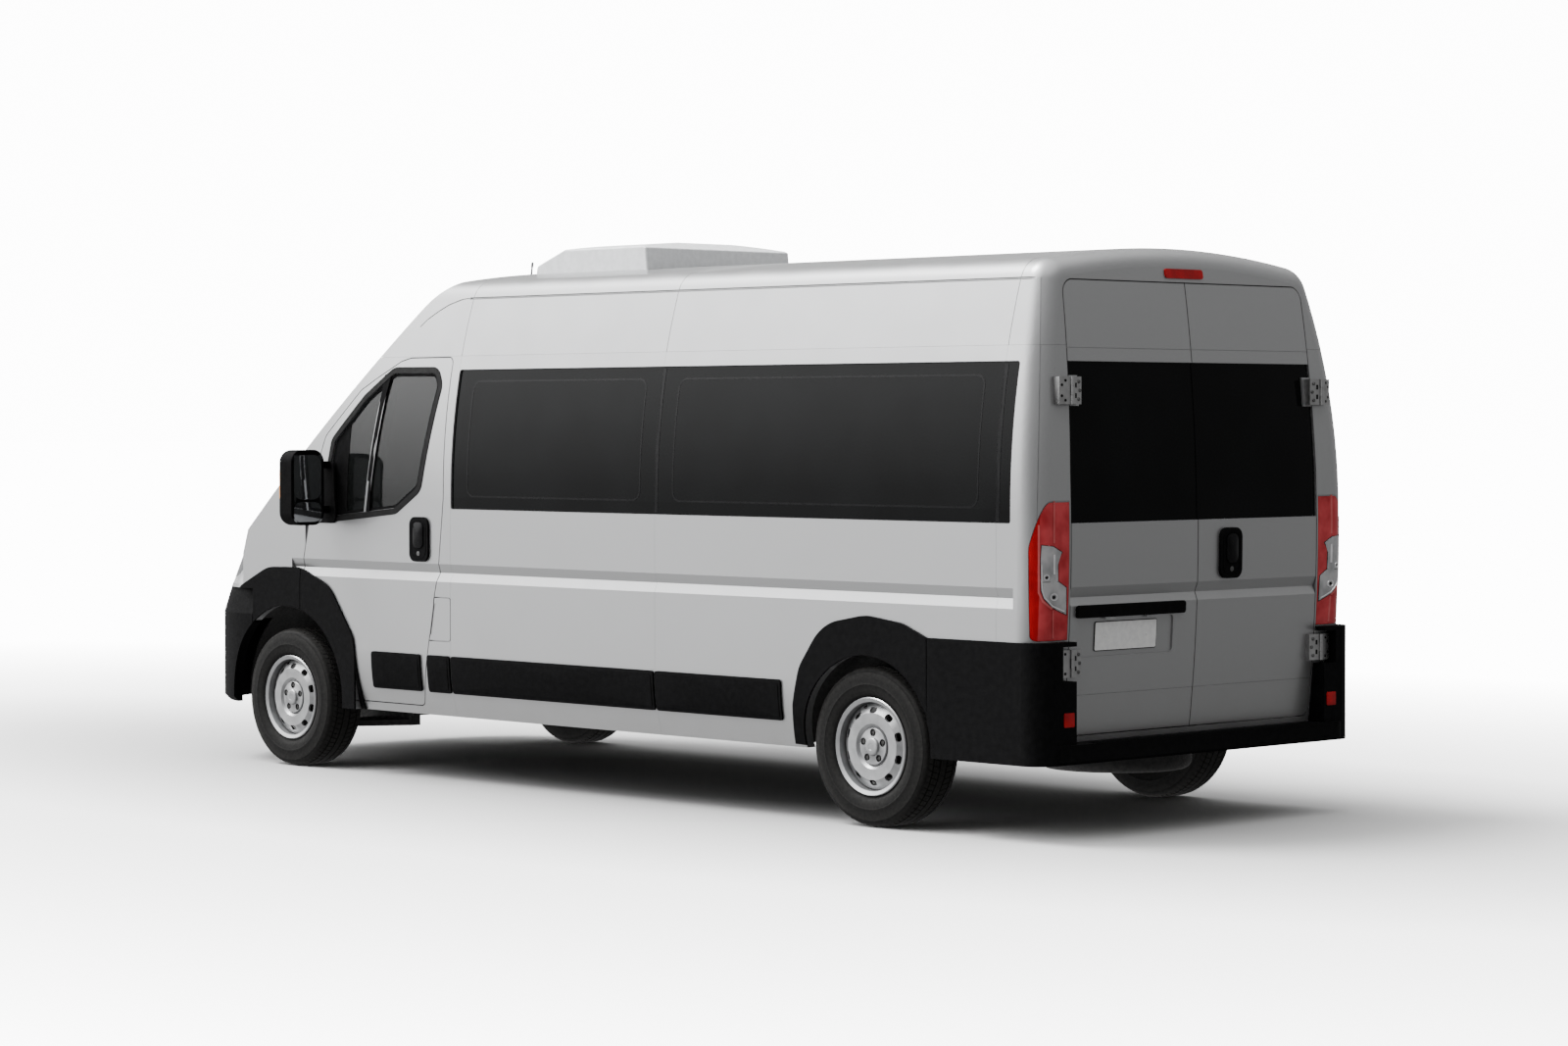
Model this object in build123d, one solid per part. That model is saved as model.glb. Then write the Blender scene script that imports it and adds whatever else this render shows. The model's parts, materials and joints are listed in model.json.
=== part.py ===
from build123d import *
import math
import os

# High-roof glazed minibus on a long wheelbase, in millimetres.
# +X points forward, +Y to the vehicle's left, +Z up. The origin is on the ground, under
# the middle of the overall length and width.

# ---------------------------------------------------------------- overall sizes
HALF_WIDTH = 1018            # outer skin, without mouldings
ROOF_Z = 2435                # roof skin at its middle
REAR_X = -2940               # rearmost point of the rear doors
FRONT_X = 2999               # foremost point of the front bumper
BUMPER_REAR_X = REAR_X - 59  # rearmost point of the rear bumper step
WHEELBASE = 4035
FRONT_AXLE_X = 2051
REAR_AXLE_X = FRONT_AXLE_X - WHEELBASE
FRONT_TRACK = 1810
REAR_TRACK = 1790

# ---------------------------------------------------------------- body section
SIDE_STRAIGHT_TOP_Z = 1350   # the sides are upright up to here and lean in above it
SIDE_RADIUS = 3042
SILL_Z = 312                 # lower edge of the skin
SILL_START_Z = 600           # below this the skin turns under
SILL_RADIUS = 990
CROWN_RADIUS = 5000
SHOULDER_RADIUS = 130
SCALLOP_LOW_Z = 950          # styling groove along the flanks and the rear doors
SCALLOP_DEEP_Z = 992
SCALLOP_HIGH_Z = 1034
SCALLOP_DEPTH = 16

# ---------------------------------------------------------------- body ends
REAR_RADIUS = 7000           # rear face, seen from the side
REAR_PEAK_Z = 1240
REAR_CORNER_RADIUS = 95
SCREEN_X = 2060              # a point of the windscreen's centre line
SCREEN_Z = 1574
SCREEN_SLOPE = 41.5
SCREEN_AXIS_X = -1200        # upright axis that the windscreen is curved about
SCREEN_BLEND_RADIUS = 800    # between windscreen line and roof

# ---------------------------------------------------------------- nose
BONNET_REAR = (2400, 1330)   # bonnet centre line in side view
BONNET_FRONT = (2800, 1105)
BONNET_CROWN_RADIUS = 3200
BONNET_SHOULDER_RADIUS = 110
NOSE_BASE_Z = 860            # the upper nose leans back from this level
NOSE_BASE_X = 2935
NOSE_LEAN = 20
NOSE_FRONT_RADIUS = 2600
NOSE_CORNER_RADIUS = 520
NOSE_FLARE_X = 2250          # the nose's plan outline widens behind here
BUMPER_FRONT_RADIUS = 2600
BUMPER_CORNER_RADIUS = 560
BUMPER_TOP_Z = 872
BUMPER_BEND_Z = 745          # above this the bumper leans back
BUMPER_LEAN = 17
BUMPER_BOTTOM_Z = 296

# ---------------------------------------------------------------- walls and gaps
WALL = 45                    # thickness of sides, doors and roof
DOOR_GAP = 5                 # round everything that opens
SEAM = 0.8                   # between fixed panels
SEAT = 0.3                   # between a piece and what it seats on
GLASS = 5
GLASS_INSET = 9              # outer face of the glass behind the skin
GLASS_EDGE = 28              # overlap of glass and frame
PANE_GAP = 1.5               # round each pane, in its rebate

# ---------------------------------------------------------------- levels and stations
FLOOR_Z = 580
FLOOR_THICKNESS = 40
WINDOW_LOW_Z = 1294
WINDOW_HIGH_Z = 1952
ROOF_SEAM_Z = 2017
CAB_SEAM_X = 770             # seams between cab, middle and rear side panels
MIDDLE_SEAM_X = -666
REAR_PILLAR_X = REAR_X + 213
GUTTER_Z = ROOF_Z - 145
GUTTER_DEPTH = 7

# ---------------------------------------------------------------- wheels
TYRE_RADIUS = 341
TYRE_WIDTH = 215
BEAD_RADIUS = 196
RIM_FLANGE_RADIUS = 208
RIM_WIDTH = 172
HUB_Z = TYRE_RADIUS
ARCH_RADIUS = 455            # opening in the wing and side
ARCH_LINER_RADIUS = 466
LINER_THICKNESS = 8
LINER_INNER_Y = 575
KINGPIN_Y = 765
STEER_LIMIT = 35

# ---------------------------------------------------------------- doors and lids
FRONT_HINGE_X = 1937
FRONT_HINGE_Y = HALF_WIDTH + 15
REAR_DOOR_LOW_Z = 428
REAR_DOOR_HIGH_Z = GUTTER_Z - 6
REAR_DOOR_HALF_WIDTH = HALF_WIDTH - 221
REAR_DOOR_TOP_HALF_WIDTH = REAR_DOOR_HALF_WIDTH - 27
REAR_HINGE_X = REAR_X - 16
REAR_HINGE_Y = REAR_DOOR_HALF_WIDTH + 15

LONG = 4600                  # longer than half the vehicle
TALL = ROOF_Z + 265
OUT = HALF_WIDTH + 482       # beyond everything at the sides

os.makedirs("parts", exist_ok=True)
pieces = {}

# pieces of one body and one material that share a file
SHARED = {
    "left_side_panels": ["left_middle_side_panel", "left_rear_side_panel"],
    "right_side_panels": ["right_door_surround", "right_rear_side_panel"],
    "side_windows": ["left_side_windows", "right_rear_side_window", "sliding_door_window"],
    "rear_lamps": ["left_tail_lamp", "right_tail_lamp", "high_brake_lamp"],
    "headlamps": ["left_headlamp", "right_headlamp"],
    "front_wings": ["left_front_wing", "right_front_wing"],
    "body_side_trims": ["left_wing_flare", "right_wing_flare", "left_rear_flare",
                        "right_rear_flare", "left_side_mouldings", "right_side_mouldings",
                        "sliding_door_moulding", "sliding_door_handle", "sliding_door_rail"],
    "front_left_door_trim": ["front_left_door_flare", "front_left_door_handle"],
    "front_right_door_trim": ["front_right_door_flare", "front_right_door_handle"],
    "underbody": ["floor", "chassis"],
    "bulkhead_and_wheelhouses": ["front_bulkhead", "rear_wheelhouses"],
    "front_suspension": ["front_subframe", "front_struts"],
    "fuel_tank_and_spare_wheel": ["fuel_tank", "spare_wheel"],
    "engine_and_exhaust": ["engine_block", "radiator", "exhaust"],
    "dashboard": ["dashboard", "steering_column"],
    "seats": ["passenger_seats", "cab_seats"],
    "seat_frames": ["passenger_seat_frames", "cab_seat_frames"],
}


# ================================================================ helpers
def save(name, shape):
    """Keeps one piece until all are made."""
    pieces[name] = [s for s in shape.solids() if s.volume > 1]


def write_nodes():
    """Writes one file per node; pieces that share a node stay separate solids in it."""
    shared = {piece: node for node, members in SHARED.items() for piece in members}
    nodes = {}
    for name, solids in pieces.items():
        nodes.setdefault(shared.get(name, name), []).extend(solids)
    for name, solids in nodes.items():
        whole = solids[0] if len(solids) == 1 else Compound(children=solids)
        export_step(whole, f"parts/{name}.step")
    print(len(nodes), "nodes")


def polygon(points, radius=0):
    face = make_face(Polyline(*points, close=True))
    return fillet(face.vertices(), radius) if radius else face


def side_prism(sketch, y_low=-OUT, y_high=OUT):
    """Extrudes a side-view sketch (x, z) across the vehicle."""
    return Pos(0, y_high, 0) * extrude(Plane.XZ * sketch, y_high - y_low)


def end_prism(sketch, x_low=-LONG, x_high=LONG):
    """Extrudes an end-view sketch (y, z) along the vehicle."""
    return Pos(x_low, 0, 0) * extrude(Plane.YZ * sketch, x_high - x_low)


def plan_prism(sketch, z_low=0, z_high=TALL):
    """Extrudes a plan-view sketch (x, y) upwards."""
    return Pos(0, 0, z_low) * extrude(sketch, z_high - z_low)


def block(x_low, x_high, y_low, y_high, z_low, z_high):
    size = Box(x_high - x_low, y_high - y_low, z_high - z_low)
    return Pos((x_low + x_high) / 2, (y_low + y_high) / 2, (z_low + z_high) / 2) * size


def mirrored(shape):
    return mirror(shape, Plane.XZ)


def grown(sketch, amount):
    return offset(sketch, amount, kind=Kind.INTERSECTION)


def circles_meet(centre_a, radius_a, centre_b, radius_b):
    """The meeting point of two circles that lies up and to the right."""
    (ax, ay), (bx, by) = centre_a, centre_b
    apart = math.dist(centre_a, centre_b)
    along = (radius_a ** 2 - radius_b ** 2 + apart ** 2) / (2 * apart)
    across = math.sqrt(radius_a ** 2 - along ** 2)
    mid_x = ax + along * (bx - ax) / apart
    mid_y = ay + along * (by - ay) / apart
    meets = [(mid_x + s * across * (by - ay) / apart, mid_y - s * across * (bx - ax) / apart)
             for s in (1, -1)]
    return max(meets, key=sum)


# ================================================================ outer form
def body_section(inset):
    """Cross-section of the cabin: turned-under sills, upright flanks, leaning upper sides."""
    side_centre = (HALF_WIDTH - SIDE_RADIUS, SIDE_STRAIGHT_TOP_Z)
    side_radius = SIDE_RADIUS - inset
    crown_centre = (0, ROOF_Z - CROWN_RADIUS)
    top = circles_meet(side_centre, side_radius, crown_centre, CROWN_RADIUS - inset)
    half_angle = math.atan2(top[1] - side_centre[1], top[0] - side_centre[0]) / 2
    side_mid = (side_centre[0] + side_radius * math.cos(half_angle),
                side_centre[1] + side_radius * math.sin(half_angle))
    sill_centre = (HALF_WIDTH - SILL_RADIUS, SILL_START_Z)
    sill_radius = SILL_RADIUS - inset
    sill_angle = math.asin((SILL_START_Z - SILL_Z) / sill_radius)
    sill_low = (sill_centre[0] + sill_radius * math.cos(sill_angle), SILL_Z)
    sill_mid = (sill_centre[0] + sill_radius * math.cos(sill_angle / 2),
                sill_centre[1] - sill_radius * math.sin(sill_angle / 2))
    y = HALF_WIDTH - inset

    def flip(point):
        return (-point[0], point[1])

    outline = Curve() + [
        Line(flip(sill_low), sill_low),
        ThreePointArc(sill_low, sill_mid, (y, SILL_START_Z)),
        Line((y, SILL_START_Z), (y, SIDE_STRAIGHT_TOP_Z)),
        ThreePointArc((y, SIDE_STRAIGHT_TOP_Z), side_mid, top),
        ThreePointArc(top, (0, ROOF_Z - inset), flip(top)),
        ThreePointArc(flip(top), flip(side_mid), (-y, SIDE_STRAIGHT_TOP_Z)),
        Line((-y, SIDE_STRAIGHT_TOP_Z), (-y, SILL_START_Z)),
        ThreePointArc((-y, SILL_START_Z), flip(sill_mid), flip(sill_low)),
    ]
    face = make_face(outline)
    shoulders = [v for v in face.vertices() if abs(v.Y - top[1]) < 1]
    return fillet(shoulders, SHOULDER_RADIUS - inset)


def rear_round(inset):
    """Everything in front of the bowed rear face."""
    centre = (REAR_X + REAR_RADIUS, REAR_PEAK_Z)
    disc = Pos(*centre) * Circle(REAR_RADIUS - inset)
    return side_prism(disc & Pos(0, TALL / 2) * Rectangle(2 * LONG, TALL))


def screen_round(inset):
    """Everything behind the windscreen, which is a cone about an upright axis."""
    slope = math.radians(SCREEN_SLOPE)
    x = SCREEN_X - inset * math.sin(slope)
    z = SCREEN_Z - inset * math.cos(slope)
    low_x = x + z / math.tan(slope)
    high_z = ROOF_Z - inset + 5
    high_x = x - (high_z - z) / math.tan(slope)
    profile = polygon([(SCREEN_AXIS_X, 0), (low_x, 0), (high_x, high_z), (SCREEN_AXIS_X, high_z)])
    knee = profile.vertices().sort_by_distance((high_x, high_z, 0))[0]
    profile = fillet([knee], SCREEN_BLEND_RADIUS - inset)
    turned = revolve(Plane.XZ * profile, Axis((SCREEN_AXIS_X, 0, 0), (0, 0, 1)), 360)
    return turned + block(SCREEN_AXIS_X - LONG, SCREEN_AXIS_X, -OUT, OUT, 0, TALL)


def front_outline(front_x, front_radius, corner_radius, half_width, flare_x, flare_y):
    """Plan view of a nose: shallow front arc, round corners, sides that may widen rearwards."""
    sag = front_radius - math.sqrt(front_radius ** 2 - half_width ** 2)
    rear_x = -LONG
    slope = (flare_y - half_width) / 500
    rear_y = half_width + slope * (flare_x - rear_x)
    front = make_face(Curve() + [
        ThreePointArc((front_x - sag, -half_width), (front_x, 0), (front_x - sag, half_width)),
        Line((front_x - sag, half_width), (flare_x, half_width)),
        Line((flare_x, half_width), (rear_x, rear_y)),
        Line((rear_x, rear_y), (rear_x, -rear_y)),
        Line((rear_x, -rear_y), (flare_x, -half_width)),
        Line((flare_x, -half_width), (front_x - sag, -half_width)),
    ])
    corners = [v for v in front.vertices() if abs(v.X - (front_x - sag)) < 1]
    return fillet(corners, corner_radius)


def cabin_form(inset):
    """Cabin and load space, closed at the rear and by the windscreen's cone."""
    body = extrude(Plane.YZ * body_section(inset), LONG, both=True) & rear_round(inset)
    ends = [e for e in body.edges()
            if e.center().X < REAR_X + 200 and e.bounding_box().size.X < 150
            and e.center().Z > SILL_Z + 10]
    body = fillet(ends, REAR_CORNER_RADIUS - inset)
    nose = front_outline(FRONT_X - inset, BUMPER_FRONT_RADIUS, BUMPER_CORNER_RADIUS - inset,
                         HALF_WIDTH - inset, NOSE_FLARE_X, HALF_WIDTH - inset + 100)
    return body & screen_round(inset) & plan_prism(nose)


def nose_form(inset):
    """Bonnet, wings and lamps: leaning front, sloping crowned bonnet."""
    outline = front_outline(NOSE_BASE_X - inset, NOSE_FRONT_RADIUS, NOSE_CORNER_RADIUS - inset,
                            HALF_WIDTH - inset, NOSE_FLARE_X, HALF_WIDTH - inset + 160)
    upper = Pos(0, 0, NOSE_BASE_Z) * extrude(outline, 620, taper=NOSE_LEAN)
    lower = plan_prism(outline, SILL_Z, NOSE_BASE_Z)
    fall = math.atan2(BONNET_REAR[1] - BONNET_FRONT[1], BONNET_FRONT[0] - BONNET_REAR[0])
    half = HALF_WIDTH - inset
    sag = BONNET_CROWN_RADIUS - math.sqrt(BONNET_CROWN_RADIUS ** 2 - half ** 2)
    arch = make_face(Curve() + [
        ThreePointArc((-half, -sag), (0, 0), (half, -sag)),
        Line((half, -sag), (half, -TALL)),
        Line((half, -TALL), (-half, -TALL)),
        Line((-half, -TALL), (-half, -sag)),
    ])
    shoulders = [v for v in arch.vertices() if abs(v.Y + sag) < 1]
    arch = fillet(shoulders, BONNET_SHOULDER_RADIUS - inset)
    across = Plane(origin=(BONNET_REAR[0], 0, BONNET_REAR[1] - inset), x_dir=(0, 1, 0),
                   z_dir=(math.cos(fall), 0, -math.sin(fall)))
    hood = extrude(across * arch, 2200, both=True)
    return (upper + lower) & hood & block(1500, LONG, -OUT, OUT, SILL_Z, TALL)



def side_y(z):
    """Half width of the skin at a height above the belt."""
    rise = max(0, z - SIDE_STRAIGHT_TOP_Z)
    return HALF_WIDTH - SIDE_RADIUS + math.sqrt(SIDE_RADIUS ** 2 - rise ** 2)


def rounded(corners):
    """A face from a table of corners: across, up, radius."""
    face = make_face(Polyline(*[(a, b) for a, b, r in corners], close=True))
    for radius in sorted({r for a, b, r in corners if r}, reverse=True):
        wanted = [(a, b) for a, b, r in corners if r == radius]
        chosen = [v for v in face.vertices()
                  if any(math.dist((v.X, v.Y), w) < 0.01 for w in wanted)]
        face = fillet(chosen, radius)
    return face


outer = cabin_form(0) + nose_form(0)
inner = cabin_form(WALL) + nose_form(WALL)
scallop = end_prism(polygon([(HALF_WIDTH + 5, SCALLOP_LOW_Z), (HALF_WIDTH, SCALLOP_LOW_Z),
                             (HALF_WIDTH - SCALLOP_DEPTH, SCALLOP_DEEP_Z),
                             (HALF_WIDTH, SCALLOP_HIGH_Z), (HALF_WIDTH + 5, SCALLOP_HIGH_Z)]),
                    REAR_X + 120, 2010)
GUTTER_BEND_X = 796          # the gutter falls towards the windscreen in front of here
gutter_y = side_y(GUTTER_Z)
gutter = end_prism(polygon([(gutter_y + 8, GUTTER_Z - 9), (gutter_y - GUTTER_DEPTH, GUTTER_Z - 2),
                            (gutter_y - GUTTER_DEPTH - 2, GUTTER_Z + 4),
                            (gutter_y + 6, GUTTER_Z + 6)]), REAR_X + 75, GUTTER_BEND_X)
rear_scallop_x = REAR_X + 3
rear_scallop = side_prism(polygon([(rear_scallop_x - 8, SCALLOP_LOW_Z),
                                   (rear_scallop_x, SCALLOP_LOW_Z),
                                   (rear_scallop_x + SCALLOP_DEPTH, SCALLOP_DEEP_Z),
                                   (rear_scallop_x, SCALLOP_HIGH_Z),
                                   (rear_scallop_x - 8, SCALLOP_HIGH_Z)]), -800, 800)
skin = outer - inner
for groove in (scallop, gutter):
    skin = skin - groove - mirrored(groove)
skin = skin - rear_scallop

# shallow lines in the skin: the gutter's falling front end, the roof seams that run on from
# the side panels, and the joint in each rear corner
SKIN_LINE = (3, 4)                   # width, depth
GUTTER_FALL = [(GUTTER_BEND_X - 1, 0), (853, -4), (943, -27), (1012, -57), (1080, -93), (1128, -130)]
CORNER_LOW = (REAR_X + 22, HALF_WIDTH - 34, SIDE_STRAIGHT_TOP_Z - 50)
CORNER_HIGH = (REAR_X + 120, HALF_WIDTH - 166, GUTTER_Z)
line_layer = cabin_form(0) - cabin_form(SKIN_LINE[1])
fall = polygon([(x, GUTTER_Z + 3 + z) for x, z in GUTTER_FALL]
               + [(x, GUTTER_Z - 3 + z) for x, z in GUTTER_FALL[::-1]])
corner_line = Vector(*CORNER_HIGH) - Vector(*CORNER_LOW)
corner_slab = Pos(*CORNER_LOW) * Rot(0, 0, 45) * Rectangle(SKIN_LINE[0], 120)
corner_slab = extrude(corner_slab, corner_line.length, dir=corner_line.normalized())
skin = skin - (line_layer & side_prism(fall))
skin = skin - (line_layer & corner_slab) - mirrored(line_layer & corner_slab)
for x in (CAB_SEAM_X, MIDDLE_SEAM_X, REAR_PILLAR_X):
    skin = skin - (line_layer & block(x - SKIN_LINE[0] / 2, x + SKIN_LINE[0] / 2, -OUT, OUT,
                                      ROOF_SEAM_Z, TALL))

glass_layer = cabin_form(GLASS_INSET) - cabin_form(GLASS_INSET + GLASS)
rebate_form = cabin_form(GLASS_INSET + GLASS + SEAT)
TRIM_THICKNESS = 10
trim_layer = (cabin_form(-TRIM_THICKNESS) + nose_form(-TRIM_THICKNESS)) - (
    cabin_form(-SEAT) + nose_form(-SEAT))
print("forms done")


def arch(axle_x, radius, y_low=-OUT, y_high=OUT):
    return side_prism(Pos(axle_x, HUB_Z) * Circle(radius), y_low, y_high)


def glazed(panel, prism, sketch, opening=None):
    """Cuts the rebate and the opening of one window; returns the panel."""
    panel = panel - (prism(sketch) - rebate_form)
    return panel - prism(opening or grown(sketch, -GLASS_EDGE))


def pane(prism, sketch):
    return glass_layer & prism(grown(sketch, -PANE_GAP))


# ================================================================ openings in the skin
def left_prism(sketch):
    return side_prism(sketch, 0, OUT)


def rear_prism(sketch):
    return end_prism(sketch, -LONG, REAR_PILLAR_X)


def front_prism(sketch):
    return end_prism(sketch, 900, LONG)


# corner table: x, z, radius
FRONT_DOOR = [
    (830, 2009, 30), (824, 1348, 0), (865, 991, 60), (896, 874, 0), (935, 665, 0),
    (983, 428, 60), (1003, 356, 30), (1660, 356, 0), (1932, 600, 0), (1932, 930, 0),
    (1921, 995, 0), (1871, 1195, 0), (1832, 1407, 0), (1745, 1637, 90), (1500, 1858, 0),
    (1390, 1914, 150), (1218, 1994, 0), (1150, 2009, 100),
]
DOOR_WINDOW = [
    (943, 1937, 45), (911, 1877, 45), (1017, 1395, 60), (1191, 1293, 60), (1743, 1242, 18),
    (1670, 1609, 50), (1450, 1813, 0), (1259, 1939, 70),
]
QUARTER_BAR = [(1278, 1990), (1315, 1990), (1444, 1200), (1407, 1200)]
door_sketch = rounded(FRONT_DOOR) - Pos(FRONT_AXLE_X, HUB_Z) * Circle(ARCH_RADIUS + 7)
door_hole = left_prism(grown(door_sketch, DOOR_GAP))
window_sketch = rounded(DOOR_WINDOW)
bar_sketch = polygon(QUARTER_BAR)
door_panes = (window_sketch - bar_sketch).faces()

# side windows, which meet at the middle seam: x from, x to, radius of rear and front corners
PANE_RADIUS = 12
FRONT_BAND = (MIDDLE_SEAM_X + SEAM / 2, CAB_SEAM_X - 4, 0, PANE_RADIUS)
REAR_BAND = (REAR_X + 135, MIDDLE_SEAM_X - SEAM / 2, PANE_RADIUS, 0)


def band_window(x_low, x_high, rear_radius, front_radius):
    return rounded([(x_low, WINDOW_LOW_Z, rear_radius), (x_high, WINDOW_LOW_Z, front_radius),
                    (x_high, WINDOW_HIGH_Z, front_radius), (x_low, WINDOW_HIGH_Z, rear_radius)])


SLIDING_DOOR = (-661, 765, 356, 2007)          # x from, x to, z from, z to
sliding_width = SLIDING_DOOR[1] - SLIDING_DOOR[0]
sliding_height = SLIDING_DOOR[3] - SLIDING_DOOR[2]
sliding_sketch = Pos(SLIDING_DOOR[0] + sliding_width / 2, SLIDING_DOOR[2] + sliding_height / 2) * (
    RectangleRounded(sliding_width, sliding_height, 55))
FUEL_FLAP = [(774, 672, 12), (774, 873, 12), (889, 873, 0), (928, 672, 0)]
flap_sketch = rounded(FUEL_FLAP)

# rear doors, end view: y, z
REAR_DOOR = [(2.5, REAR_DOOR_LOW_Z, 0), (REAR_DOOR_HALF_WIDTH, REAR_DOOR_LOW_Z, 40),
             (REAR_DOOR_HALF_WIDTH, 1500, 0), (REAR_DOOR_TOP_HALF_WIDTH, REAR_DOOR_HIGH_Z, 60),
             (2.5, REAR_DOOR_HIGH_Z, 0)]
rear_door_sketch = rounded(REAR_DOOR)
rear_hole_sketch = grown(rounded([(-y, z, r) for y, z, r in REAR_DOOR[1:4]][::-1]
                                 + REAR_DOOR[1:4]), DOOR_GAP)
rear_hole = rear_prism(rear_hole_sketch)
# the rear glass reaches the edges of its door, save for a pad under the upper hinge
REAR_OPENING = [(34, WINDOW_LOW_Z + GLASS_EDGE, 25),
                (REAR_DOOR_HALF_WIDTH - 82, WINDOW_LOW_Z + GLASS_EDGE, 25),
                (REAR_DOOR_HALF_WIDTH - 92, WINDOW_HIGH_Z - GLASS_EDGE, 40),
                (34, WINDOW_HIGH_Z - GLASS_EDGE, 25)]
HINGE_Z = (726, 1832)                # middle of the lower and upper hinges of the rear doors
HINGE_PAD = (REAR_HINGE_Y - 80, HINGE_Z[1] - 62, HALF_WIDTH, HINGE_Z[1] + 62)   # y, z, y, z


def rectangle(low_a, low_b, high_a, high_b):
    return polygon([(low_a, low_b), (high_a, low_b), (high_a, high_b), (low_a, high_b)])


rear_rebate = rectangle(-10, WINDOW_LOW_Z, HALF_WIDTH, WINDOW_HIGH_Z) - rectangle(*HINGE_PAD)
rear_pane = (rear_rebate & rear_door_sketch) - rectangle(*HINGE_PAD)
rear_opening = rounded(REAR_OPENING)

# everything in front of the cab, side view
NOSE_REGION = [(1937, 250), (1937, 930), (1926, 996), (1876, 1200), (2240, 1300), (2420, 1352),
               (3100, 1352), (3100, 250)]
nose_region = side_prism(polygon(NOSE_REGION))

# ================================================================ fixed body panels
lower = skin - block(-LONG, LONG, -OUT, OUT, ROOF_SEAM_Z - SEAM / 2, TALL)
roof = skin - block(-LONG, LONG, -OUT, OUT, 0, ROOF_SEAM_Z + SEAM / 2) - rear_hole
save("high_roof", roof)

rear_frame = lower & block(-LONG, REAR_PILLAR_X - SEAM / 2, -OUT, OUT, 0, TALL)
rear_frame = rear_frame - rear_hole
TAIL_LAMP = [(REAR_X + 47, 822, 20), (REAR_X + 47, 1200, 130), (REAR_X - 5, 1405, 10),
             (REAR_X - 160, 1405, 0), (REAR_X - 160, 822, 0)]
LAMP_INNER_Y = REAR_HINGE_Y
lamp_sketch = rounded(TAIL_LAMP)
left_lamp_zone = side_prism(lamp_sketch, LAMP_INNER_Y, OUT)
LAMP_DEPTH = 38
lamp_layer = cabin_form(0) - cabin_form(LAMP_DEPTH)
lamp_back = cabin_form(LAMP_DEPTH + SEAT)
lamp_hole = side_prism(grown(lamp_sketch, 2), LAMP_INNER_Y - 2, OUT) - lamp_back
left_lamp = lamp_layer & left_lamp_zone
save("left_tail_lamp", left_lamp)
save("right_tail_lamp", mirrored(left_lamp))
rear_frame = rear_frame - lamp_hole - mirrored(lamp_hole)

rear_side = lower & block(REAR_PILLAR_X + SEAM / 2, MIDDLE_SEAM_X - SEAM / 2, 0, OUT, 0, TALL)
rear_side = rear_side - arch(REAR_AXLE_X, 393)
rear_band = band_window(*REAR_BAND)
rear_side = glazed(rear_side, left_prism, rear_band)
rear_frame = glazed(rear_frame, left_prism, rear_band)
rear_frame = mirrored(glazed(mirrored(rear_frame), left_prism, rear_band))
save("rear_frame", rear_frame)
save("left_rear_side_panel", rear_side)
save("right_rear_side_panel", mirrored(rear_side))

middle_side = lower & block(MIDDLE_SEAM_X + SEAM / 2, CAB_SEAM_X - SEAM / 2, 0, OUT, 0, TALL)
front_band = band_window(*FRONT_BAND)
left_middle = glazed(middle_side, left_prism, front_band)
save("left_middle_side_panel", left_middle)
right_middle = mirrored(middle_side - left_prism(grown(sliding_sketch, DOOR_GAP)))
save("right_door_surround", right_middle)
sliding = mirrored(glazed(middle_side & left_prism(sliding_sketch), left_prism, front_band))
save("sliding_door", sliding)

left_front_pane = pane(left_prism, front_band)
left_rear_pane = pane(left_prism, rear_band)
save("left_side_windows", left_front_pane + left_rear_pane)
save("right_rear_side_window", mirrored(left_rear_pane))
save("sliding_door_window", mirrored(left_front_pane & left_prism(grown(sliding_sketch, -PANE_GAP))))

cab = lower & block(CAB_SEAM_X + SEAM / 2, LONG, -OUT, OUT, 0, TALL)
cab = cab - door_hole - mirrored(door_hole) - nose_region
cab = cab - arch(FRONT_AXLE_X, ARCH_RADIUS + 7)
FLAP_THICKNESS = 12
flap_hole = left_prism(grown(flap_sketch, DOOR_GAP)) - cabin_form(FLAP_THICKNESS + DOOR_GAP)
flap_buffer = block(788, 802, 0, OUT, 760, 784) & (
    cabin_form(FLAP_THICKNESS + SEAT) - cabin_form(WALL - 5))
cab = cab - flap_hole + flap_buffer
# corner table: y, z, radius
WINDSCREEN = [(150 - HALF_WIDTH, 1385, 70), (HALF_WIDTH - 150, 1385, 70),
              (HALF_WIDTH - 228, 1965, 90), (228 - HALF_WIDTH, 1965, 90)]
screen_sketch = rounded(WINDSCREEN)
cab = glazed(cab, front_prism, screen_sketch)
BONNET_HINGE = (2417, 1326)        # x, z of the bonnet's axis, just above its rear edge
BONNET_ARM_Y = 180
BONNET_ARM = (84, 96)              # inner and outer radius of the swan neck
STRAP_ARM = (84, 96)               # the same for the front doors' check straps
STRAP_Z = (1040, 1060)


def ring_sector(plane, centre, radii, angles, thickness):
    """Part of a flat ring: radii from and to, angles from and to in degrees."""
    ring = Circle(radii[1]) - Circle(radii[0])
    reach = 3 * radii[1]
    first, last = (math.radians(a) for a in angles)
    wedge = [(0, 0)]
    steps = 4
    for i in range(steps + 1):
        a = first + (last - first) * i / steps
        wedge.append((reach * math.cos(a), reach * math.sin(a)))
    return extrude(plane * Pos(*centre) * (ring & polygon(wedge)), thickness / 2, both=True)


def bonnet_ring(radii, angles, thickness):
    sectors = [ring_sector(Plane.XZ.offset(-side * BONNET_ARM_Y), BONNET_HINGE, radii, angles,
                           thickness) for side in (1, -1)]
    return sectors[0] + sectors[1]


bonnet_bracket = bonnet_ring((60, BONNET_ARM[0] - SEAT), (-150, -95), 24)
cab = cab + bonnet_bracket
save("cab_frame", cab)
save("windscreen", pane(front_prism, screen_sketch))
print("fixed panels done")

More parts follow.
